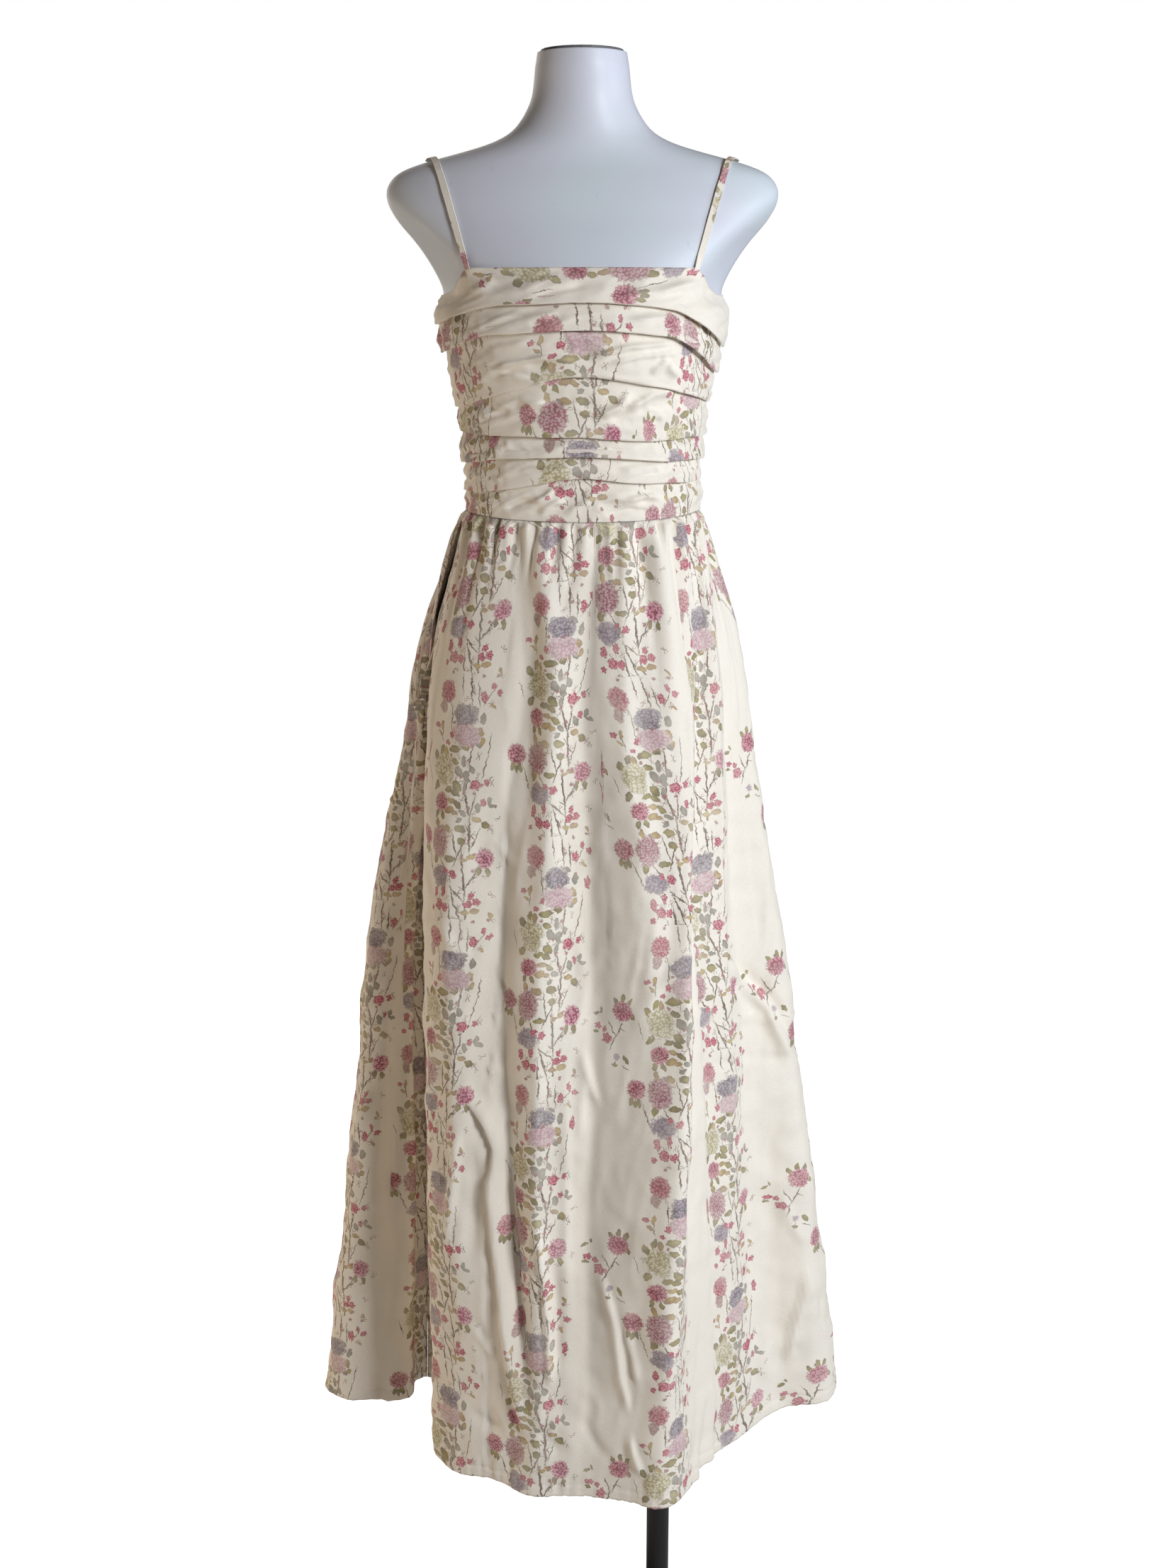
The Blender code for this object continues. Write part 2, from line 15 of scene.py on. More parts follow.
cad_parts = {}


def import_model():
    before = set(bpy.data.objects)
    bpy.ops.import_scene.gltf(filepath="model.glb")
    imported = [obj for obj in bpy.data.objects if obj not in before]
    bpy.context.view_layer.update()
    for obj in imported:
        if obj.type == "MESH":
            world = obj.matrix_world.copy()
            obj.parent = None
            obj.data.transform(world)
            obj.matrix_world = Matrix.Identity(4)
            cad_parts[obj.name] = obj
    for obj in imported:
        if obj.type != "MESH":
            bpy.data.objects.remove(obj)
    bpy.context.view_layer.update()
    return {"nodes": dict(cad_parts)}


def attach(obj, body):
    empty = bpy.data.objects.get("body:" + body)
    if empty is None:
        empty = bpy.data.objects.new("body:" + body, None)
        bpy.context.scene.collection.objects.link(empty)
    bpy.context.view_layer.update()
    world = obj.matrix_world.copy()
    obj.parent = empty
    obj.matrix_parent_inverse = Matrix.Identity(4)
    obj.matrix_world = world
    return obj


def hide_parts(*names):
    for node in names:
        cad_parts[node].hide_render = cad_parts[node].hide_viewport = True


# ---------------------------------------------------------------- the view
CAMERA_AT = (0.0052, -1.96, 1.63)
CAMERA_PITCH = math.radians(14.3)      # looking down
CAMERA_LENS = 42.5
SENSOR = 36.0

# ---------------------------------------------------------------- sizes shared with the CAD
SEAM_GAP = 0.0003
WAIST_Z = 1.425
WAIST_RISE = 0.005
HEM_Z = 0.372
TOP_EDGE_Z = 1.672
UNDERARM_Z = 1.647
BACK_EDGE_Z = 1.640
SKIRT_STANDOFF = 0.0042
STRAP_WIDTH = 0.0068
STRAP_THICKNESS = 0.0012
STRAP_FRONT_X = 0.109
STRAP_SHOULDER_X = 0.156
STRAP_BACK_X = 0.096
STRAP_CLEARANCE = 0.0016
SHOULDER_Z = 1.775
STRAP_CREST_Z = 1.800
HIP_Z = 1.230
SWAY = 0.008
SWAY_RISE = 0.7

NO_CUT = 0.300
ARM_CUT_SLANT = math.radians(22)
ARM_CUT_EDGE = 24
FORM_COLUMNS = ("z", "half_width", "front", "back", "centre_y", "square", "arm_cut")
FORM_SECTIONS = (
    (1.080, 0.142, 0.096, 0.104, 0.002, 2.2, NO_CUT),
    (1.150, 0.149, 0.104, 0.115, 0.002, 2.2, NO_CUT),
    (1.230, 0.152, 0.108, 0.118, 0.002, 2.2, NO_CUT),
    (1.300, 0.145, 0.104, 0.109, 0.002, 2.2, NO_CUT),
    (1.360, 0.131, 0.098, 0.095, 0.001, 2.2, NO_CUT),
    (1.425, 0.1175, 0.091, 0.084, 0.000, 2.2, NO_CUT),
    (1.478, 0.1190, 0.096, 0.088, 0.000, 2.2, NO_CUT),
    (1.530, 0.1240, 0.107, 0.098, 0.000, 2.2, NO_CUT),
    (1.582, 0.1345, 0.122, 0.106, 0.000, 2.2, NO_CUT),
    (1.612, 0.1430, 0.126, 0.108, 0.000, 2.2, 0.200),
    (1.630, 0.1445, 0.123, 0.108, 0.000, 2.2, 0.165),
    (1.647, 0.1460, 0.117, 0.107, 0.000, 2.2, 0.1440),
    (1.660, 0.1540, 0.112, 0.106, 0.001, 2.2, 0.1470),
    (1.672, 0.1640, 0.107, 0.104, 0.001, 2.2, 0.1525),
    (1.697, 0.1870, 0.095, 0.099, 0.002, 2.2, 0.1685),
    (1.722, 0.1980, 0.083, 0.091, 0.004, 2.2, 0.1935),
    (1.739, 0.2010, 0.076, 0.085, 0.005, 2.2, 0.2100),
    (1.755, 0.1965, 0.069, 0.077, 0.006, 2.1, NO_CUT),
    (1.769, 0.1835, 0.061, 0.066, 0.006, 2.1, NO_CUT),
    (1.777, 0.1590, 0.057, 0.061, 0.006, 2.0, NO_CUT),
    (1.785, 0.1200, 0.055, 0.057, 0.005, 2.0, NO_CUT),
    (1.793, 0.0920, 0.053, 0.055, 0.004, 2.0, NO_CUT),
    (1.801, 0.0750, 0.052, 0.054, 0.003, 2.0, NO_CUT),
    (1.810, 0.0650, 0.051, 0.053, 0.002, 2.0, NO_CUT),
    (1.820, 0.0590, 0.050, 0.052, 0.001, 2.0, NO_CUT),
    (1.832, 0.0515, 0.048, 0.050, -0.001, 2.0, NO_CUT),
    (1.848, 0.0485, 0.047, 0.047, -0.004, 2.0, NO_CUT),
    (1.874, 0.0455, 0.045, 0.045, -0.008, 2.0, NO_CUT),
    (1.878, 0.0435, 0.043, 0.043, -0.008, 2.0, NO_CUT),
)
PLEAT_STATIONS = (-1.0, -0.5, 0.0, 0.5, 1.0)
PLEAT_EDGES = (
    # name, left_seam, left, centre, right, right_seam
    ("top_band", 1.618, 1.636, 1.639, 1.634, 1.596),
    ("second", 1.590, 1.610, 1.613, 1.608, 1.570),
    ("drape", 1.536, 1.555, 1.569, 1.560, 1.542),
    ("crisp", 1.513, 1.512, 1.510, 1.507, 1.509),
    ("fifth", 1.481, 1.489, 1.491, 1.487, 1.485),
    ("lowest", 1.451, 1.459, 1.470, 1.464, 1.464),
)
SKIRT_FOLDS = (
    # name, waist_deg, hem_x, hem_y
    ("left_seam_in_valley", 180, -0.190, 0.050),
    ("valley_wall", 182.5, -0.166, 0.020),
    ("front_lobe_edge", 192, -0.161, -0.119),
    ("front_lobe_corner", 204, -0.146, -0.134),
    ("front_lobe_left", 227, -0.110, -0.152),
    ("front_left", 246, -0.068, -0.177),
    ("front_centre", 264, -0.019, -0.185),
    ("front_right", 292, 0.050, -0.191),
    ("ridge_before", 322, 0.090, -0.198),
    ("ridge", 330, 0.112, -0.177),
    ("ridge_after", 338, 0.142, -0.119),
    ("right_slope", 343, 0.168, -0.088),
    ("right_flat", 351, 0.238, -0.014),
    ("right_lobe", 355, 0.290, 0.002),
    ("right_side", 358, 0.306, 0.034),
    ("right_seam", 360, 0.298, 0.064),
    ("back_lobe_1", 370, 0.262, 0.114),
    ("back_valley_1", 381, 0.222, 0.122),
    ("back_rise_2", 392, 0.194, 0.152),
    ("back_lobe_2", 404, 0.158, 0.196),
    ("back_lobe_2_end", 415, 0.114, 0.210),
    ("back_valley_2", 425, 0.080, 0.182),
    ("back_rise_3", 435, 0.042, 0.188),
    ("back_lobe_3", 446, 0.008, 0.222),
    ("back_lobe_3_end", 458, -0.042, 0.230),
    ("back_fall_3", 468, -0.082, 0.206),
    ("back_valley_3", 478, -0.110, 0.172),
    ("back_rise_4", 488, -0.146, 0.180),
    ("back_lobe_4", 499, -0.186, 0.184),
    ("back_fall_4", 507, -0.216, 0.152),
    ("back_valley_4", 514, -0.246, 0.112),
    ("left_lobe_back", 520, -0.286, 0.090),
    ("left_side", 525, -0.310, 0.052),
    ("left_lobe_front", 529, -0.296, 0.010),
    ("left_lobe_face", 532, -0.248, 0.002),
    ("left_lobe_edge", 535, -0.208, 0.010),
    ("valley_back_wall", 537.5, -0.206, 0.038),
)
SPREAD = ((0.0, 0.0), (0.10, 0.11), (0.21, 0.20), (0.46, 0.525), (0.70, 0.73), (1.0, 1.0))

# ---------------------------------------------------------------- sizes of the fine cloth
CLOTH = 0.0005             # wall of the fine shells
SKIRT_ROWS = 232
GATHER_ROWS, GATHER_SHARE = 42, 0.08      # rows in the gathers, and the gathers' share of the length
HEM_ROWS, HEM_SHARE = 16, 0.03            # the same at the hem
FRONT_COLUMNS = 202
REAR_COLUMNS = 206
BODICE_COLUMNS = 176
BACK_BODICE_COLUMNS = 120
BACK_BODICE_ROWS = 110
BODICE_IN = 0.0024         # outer face of a strip above the form where it leaves the pleat above
BODICE_OUT = 0.0098        # the same at its own lower edge
TUCK = 0.0070              # how far a pleat's hidden layers reach up behind its edge
FOLD_RADIUS = 0.0009
HEM_DEPTH = 0.013          # height of the stitched hem


# ---------------------------------------------------------------- curves
def monotone(xs, ys, x):
    """Smooth curve through the points (xs, ys) that never overshoots them, at x."""
    xs, ys = np.asarray(xs, float), np.asarray(ys, float)
    x = np.clip(np.asarray(x, float), xs[0], xs[-1])
    step = np.diff(xs)
    slope = np.diff(ys) / step
    tangent = np.zeros_like(ys)
    turning = slope[:-1] * slope[1:] > 0
    weight_a, weight_b = 2 * step[1:] + step[:-1], step[1:] + 2 * step[:-1]
    safe = np.where(turning, slope[:-1] * slope[1:], 1.0)
    weighted = weight_a * slope[1:] + weight_b * slope[:-1] + (~turning)
    harmonic = (weight_a + weight_b) * safe / weighted
    tangent[1:-1] = np.where(turning, harmonic, 0.0)
    tangent[0], tangent[-1] = slope[0], slope[-1]
    i = np.clip(np.searchsorted(xs, x, side="right") - 1, 0, len(step) - 1)
    h, u = step[i], (x - xs[i]) / step[i]
    return (ys[i] * (1 + 2 * u) * (1 - u) ** 2 + tangent[i] * h * u * (1 - u) ** 2
            + ys[i + 1] * u * u * (3 - 2 * u) + tangent[i + 1] * h * u * u * (u - 1))


def smooth(x):
    """Rises from 0 at x = 0 to 1 at x = 1 with level ends."""
    x = np.clip(x, 0.0, 1.0)
    return x * x * (3 - 2 * x)


def lattice(ix, iy, seed):
    """Repeatable pseudo-random numbers from 0 to 1 at whole-number places."""
    n = (ix * 374761393 + iy * 668265263 + seed * 1442695041) & 0xFFFFFFFF
    n = ((n ^ (n >> 13)) * 1274126177) & 0xFFFFFFFF
    return ((n ^ (n >> 16)) & 0xFFFF) / 65535.0


def value_noise(x, y, seed):
    """Smooth noise from -1 to 1, one hump to a unit."""
    ix, iy = np.floor(x).astype(np.int64), np.floor(y).astype(np.int64)
    fx, fy = smooth(x - ix), smooth(y - iy)
    low = lattice(ix, iy, seed) * (1 - fx) + lattice(ix + 1, iy, seed) * fx
    high = lattice(ix, iy + 1, seed) * (1 - fx) + lattice(ix + 1, iy + 1, seed) * fx
    return (low * (1 - fy) + high * fy) * 2 - 1


def crumple(x, y, size, seed):
    """Sharp little ridges between flat facets, as in creased cotton, from about -1 to 1."""
    bend = value_noise(x / size, y / size, seed) * 0.8
    first = 1 - 2 * np.abs(value_noise(x / size + bend, y / size, seed + 1))
    second = 1 - 2 * np.abs(value_noise(x / size * 1.9, y / size * 1.9 + bend, seed + 2))
    return 0.65 * first + 0.35 * second


# ---------------------------------------------------------------- the form's sections
def section(z):
    """The form's sections at heights z, as a dict by column name."""
    heights = [row[0] for row in FORM_SECTIONS]
    return {name: monotone(heights, [row[k] for row in FORM_SECTIONS], z)
            for k, name in enumerate(FORM_COLUMNS)}


def form_ring(z, turn, standoff=0.0):
    """Points (x, y) on the form's section at heights z, moved out level; turn is 0 at +X."""
    cut = section(z)
    c, s = np.cos(turn), np.sin(turn)
    depth = np.where(s < 0, cut["front"], cut["back"])
    power = 2 / cut["square"]
    x = cut["half_width"] * np.sign(c) * np.abs(c) ** power
    y = depth * np.sign(s) * np.abs(s) ** power
    radius = np.hypot(x, y)
    face = (cut["arm_cut"] * math.cos(ARM_CUT_SLANT) * radius
            / (np.abs(x) * math.cos(ARM_CUT_SLANT) + np.abs(y) * math.sin(ARM_CUT_SLANT)))
    share = (1 + (radius / face) ** ARM_CUT_EDGE) ** (-1 / ARM_CUT_EDGE)
    normal = np.stack([c / cut["half_width"], s / depth], axis=-1)
    normal /= np.linalg.norm(normal, axis=-1, keepdims=True)
    surface = np.stack([x * share, y * share + cut["centre_y"]], axis=-1)
    return surface + normal * np.asarray(standoff)[..., None]


def waist_seam(turn):
    """Height of the waist seam at the place turn round the waist."""
    return WAIST_Z + WAIST_RISE * np.cos(turn) ** 2


# ---------------------------------------------------------------- creases
def near_line(x, y, points):
    """Signed distance from (x, y) to a line through the points, and the share of the way along it."""
    points = np.asarray(points, float)
    lengths = np.linalg.norm(np.diff(points, axis=0), axis=1)
    before = np.concatenate([[0.0], np.cumsum(lengths)])
    best = np.full(x.shape, np.inf)
    signed, along = np.zeros(x.shape), np.zeros(x.shape)
    for (ax, ay), (bx, by), length, start in zip(points[:-1], points[1:], lengths, before):
        dx, dy = (bx - ax) / length, (by - ay) / length
        t = np.clip((x - ax) * dx + (y - ay) * dy, 0, length)
        off_x, off_y = x - ax - dx * t, y - ay - dy * t
        distance = np.hypot(off_x, off_y)
        side = np.sign(dx * off_y - dy * off_x)
        closer = distance < best
        best = np.where(closer, distance, best)
        signed = np.where(closer, side * distance, signed)
        along = np.where(closer, (start + t) / before[-1], along)
    return signed, along


def crease_depth(signed, along, width, depth, lean, fade):
    """Height of one crease: a ridge (depth > 0) or trough, steeper on the side that lean points to."""
    wide = width * np.where(signed * lean > 0, 1 - 0.65 * abs(lean), 1 + 0.65 * abs(lean))
    body = np.exp(-(signed / wide) ** 2)
    ends = smooth(along / fade) * smooth((1 - along) / fade)
    return depth * body * ends


# ---------------------------------------------------------------- the skirt
def hem_lengths():
    """Distance along the hem from the left seam to each fold's point, and the whole way round."""
    points = np.array([row[2:] for row in SKIRT_FOLDS])
    steps = np.linalg.norm(np.roll(points, -1, axis=0) - points, axis=1)
    return np.concatenate([[0.0], np.cumsum(steps)])


def hem_outline(length):
    """Points (x, y) of the hem at distances along it: a smooth closed curve through the folds."""
    knots = hem_lengths()
    points = np.array([row[2:] for row in SKIRT_FOLDS])
    count = len(points)
    around = np.mod(length, knots[-1])
    i = np.clip(np.searchsorted(knots, around, side="right") - 1, 0, count - 1)
    step = np.diff(knots)
    before, here = points[(i - 1) % count], points[i % count]
    after, beyond = points[(i + 1) % count], points[(i + 2) % count]
    h = step[i][:, None]
    h_before, h_beyond = step[(i - 1) % count][:, None], step[(i + 1) % count][:, None]
    leave = ((here - before) / h_before * h + (after - here) / h * h_before) / (h + h_before)
    arrive = ((after - here) / h * h_beyond + (beyond - after) / h_beyond * h) / (h + h_beyond)
    u = ((around - knots[i]) / step[i])[:, None]
    return (here * (1 + 2 * u) * (1 - u) ** 2 + leave * h * u * (1 - u) ** 2
            + after * u * u * (3 - 2 * u) + arrive * h * u * u * (u - 1))


def waist_degrees(length):
    """Place round the waist (degrees) from which the hem point at this length hangs."""
    knots = hem_lengths()
    degrees = [row[1] for row in SKIRT_FOLDS] + [SKIRT_FOLDS[0][1] + 360]
    return monotone(knots, degrees, length)


def skirt_base(length, share):
    """Skirt points (x, y, z) before gathers and folds; share is of the way from waist seam to hem."""
    turn = np.radians(waist_degrees(length))
    top = waist_seam(turn)
    z = top + (HEM_Z - top) * share
    over_form = form_ring(np.maximum(z, HIP_Z), turn, np.full(len(turn), SKIRT_STANDOFF))
    spread = monotone(*zip(*SPREAD), share)
    xy = over_form + (hem_outline(length) - over_form) * spread
    xy[:, 0] -= SWAY * math.sin(math.pi * share ** SWAY_RISE) ** 2
    return np.column_stack([xy, z])


# The front's folds, from left to right: ridges and valleys running down, with flat faces between them.
# "at" holds (height, distance along the hem, how far it stands out) rows, in metres.
FRONT_FOLDS = (
    ("wall", ((1.43, 0.15, 0.0), (0.372, 0.15, 0.0))),
    ("left_corner", ((1.43, 0.232, 0.0), (1.371, 0.231, 0.002), (1.258, 0.236, 0.0046),
     (1.085, 0.226, 0.0098), (0.87, 0.226, 0.0116), (0.642, 0.219, 0.0086), (0.5, 0.218, 0.003),
     (0.372, 0.222, 0.0008))),
    ("left_valley", ((1.43, 0.28, 0.0), (1.371, 0.285, -0.0032), (1.258, 0.3, -0.006),
     (1.085, 0.276, -0.0085), (0.87, 0.272, -0.0095), (0.642, 0.283, -0.008), (0.5, 0.29, -0.004),
     (0.372, 0.272, -0.0012))),
    ("column_ridge", ((1.43, 0.31, 0.0), (1.371, 0.315, 0.0036), (1.258, 0.334, 0.005),
     (1.085, 0.328, 0.0055), (0.87, 0.315, 0.0066), (0.642, 0.309, 0.005), (0.5, 0.309, 0.0045),
     (0.372, 0.304, 0.0025))),
    ("wide_valley", ((1.43, 0.362, 0.0), (1.371, 0.362, -0.003), (1.258, 0.359, -0.0046),
     (1.085, 0.367, -0.0105), (0.87, 0.372, -0.0125), (0.642, 0.362, -0.011), (0.5, 0.362, -0.005),
     (0.372, 0.357, -0.003))),
    ("knife_ridge", ((1.43, 0.39, 0.0), (1.371, 0.391, 0.0034), (1.258, 0.396, 0.005),
     (1.173, 0.401, 0.0055), (1.085, 0.412, 0.0074), (0.979, 0.422, 0.006), (0.87, 0.421, 0.004),
     (0.642, 0.412, 0.0036), (0.372, 0.402, 0.001))),
    ("knife_valley", ((1.43, 0.408, 0.0), (1.371, 0.41, -0.0006), (1.258, 0.41, 0.001),
     (1.173, 0.419, 0.002), (1.085, 0.431, 0.004), (0.979, 0.434, 0.0045), (0.87, 0.433, 0.007),
     (0.642, 0.426, 0.0068), (0.372, 0.418, 0.0018))),
    ("great_ridge", ((1.43, 0.424, 0.0), (1.371, 0.423, 0.004), (1.258, 0.426, 0.0058),
     (1.173, 0.436, 0.0062), (1.085, 0.443, 0.0076), (0.979, 0.446, 0.0098), (0.87, 0.448, 0.014),
     (0.642, 0.44, 0.013), (0.5, 0.438, 0.007), (0.372, 0.434, 0.003))),
    ("behind_ridge", ((1.43, 0.45, 0.0), (1.371, 0.452, -0.003), (1.258, 0.46, -0.005),
     (1.173, 0.468, -0.0062), (1.085, 0.474, -0.0068), (0.87, 0.478, -0.007), (0.642, 0.484, -0.0064),
     (0.372, 0.496, 0.0))),
    ("right_ridge", ((1.43, 0.49, 0.0), (1.371, 0.5, 0.003), (1.258, 0.522, 0.0044),
     (1.173, 0.54, 0.0056), (1.085, 0.56, 0.006), (0.87, 0.582, 0.0054), (0.642, 0.59, 0.0048),
     (0.372, 0.59, 0.001))),
    ("right_valley", ((1.43, 0.56, 0.0), (1.3, 0.58, -0.0024), (1.085, 0.625, -0.002),
     (0.8, 0.64, -0.0014), (0.372, 0.645, -0.0016))),
    ("far_ridge", ((1.43, 0.64, 0.0), (1.2, 0.665, 0.0022), (0.9, 0.69, 0.0022), (0.6, 0.7, 0.0026),
     (0.372, 0.704, 0.0012))),
    ("right_end", ((1.43, 0.76, 0.0), (0.372, 0.76, 0.0))),
)
RELIEF = 1.60              # how much deeper the long folds are than their rows say
CREASE_RELIEF = 1.6        # the same for the skirt's shorter creases
CREASE_WIDTH = 0.85        # how much narrower those are than their rows say
CREASE_CROSSING = 0.9      # how much shorter they reach across than their rows say
ROUNDING = 0.0032          # how far a fold's bend spreads along the cloth


def front_relief(lengths, height):
    """How far the front's folds stand out: flat faces between the lines, rounded at the bends."""
    knots, heights = [], []
    for _, at in FRONT_FOLDS:
        zs, along, out = zip(*reversed(at))
        knots.append(monotone(zs, along, height))
        heights.append(monotone(zs, out, height))
    total = np.zeros(height.shape)
    slopes = [np.zeros(height.shape)]
    for k in range(len(knots) - 1):
        slopes.append((heights[k + 1] - heights[k]) / (knots[k + 1] - knots[k]))
    slopes.append(np.zeros(height.shape))
    for k, knot in enumerate(knots):
        reach = lengths - knot
        rounded = reach + np.sqrt(reach * reach + ROUNDING * ROUNDING)
        total += (slopes[k + 1] - slopes[k]) * rounded / 2
    return RELIEF * total


# Other long folds, from the top down. "at" holds (height, distance along the hem) pairs. Width and
# depth are in metres (depth above 0 stands out), lean makes one side steeper, fade softens the ends.
SKIRT_LONG_FOLDS = (
    # name, at, width, depth, lean, fade
    ("soft_valley", ((1.405, 0.29), (1.362, 0.301), (1.3, 0.311), (1.2, 0.311), (1.08, 0.305)), 0.01,
     -0.0028, 0.2, 0.25),
    ("great_edge", ((1.3, 0.44), (1.09, 0.45), (0.92, 0.456), (0.8, 0.457), (0.68, 0.45), (0.55, 0.448),
     (0.44, 0.45)), 0.006, 0.0022, 0.5, 0.15),
    ("press_left", ((0.884, 0.345), (0.78, 0.344), (0.68, 0.342), (0.56, 0.345)), 0.005, 0.0016, 0.4,
     0.3),
    ("press_right", ((0.62, 0.436), (0.52, 0.44), (0.46, 0.448)), 0.007, 0.0016, 0.0, 0.4),
    ("lobe_face", ((1.2, 1.7), (0.9, 1.672), (0.66, 1.655), (0.42, 1.652)), 0.02, 0.004, 0.0, 0.3),
    ("lobe_hollow", ((0.95, 1.7), (0.7, 1.692), (0.45, 1.695)), 0.012, -0.003, 0.0, 0.3),
    # the hidden back
    ("back_fold_1", ((1.41, 0.93), (1.25, 0.93), (1.05, 0.925), (0.8, 0.922)), 0.016, -0.0055, 0.3,
     0.25),
    ("back_fold_2", ((1.42, 1.005), (1.3, 1.01), (1.1, 1.015), (0.85, 1.018)), 0.014, 0.005, -0.5, 0.2),

    ("back_fold_3", ((1.41, 1.09), (1.22, 1.095), (0.95, 1.1), (0.6, 1.1)), 0.018, -0.006, 0.0, 0.25),
    ("back_fold_4", ((1.42, 1.175), (1.25, 1.18), (1.0, 1.19), (0.7, 1.2)), 0.013, 0.0055, 0.55, 0.2),
    ("back_fold_5", ((1.4, 1.26), (1.2, 1.265), (1.02, 1.27)), 0.015, -0.0045, 0.0, 0.3),
    ("back_fold_6", ((1.41, 1.33), (1.15, 1.335), (0.8, 1.33), (0.55, 1.325)), 0.018, -0.005, -0.2,
     0.25),
    ("back_fold_7", ((1.42, 1.4), (1.28, 1.405), (1.06, 1.41)), 0.012, 0.005, -0.5, 0.25),
    ("back_fold_8", ((1.4, 1.49), (1.15, 1.495), (0.85, 1.5)), 0.018, -0.0048, 0.0, 0.3),
    ("back_press", ((1.0, 1.235), (0.8, 1.236), (0.6, 1.234)), 0.005, 0.0014, 0.4, 0.3),
)
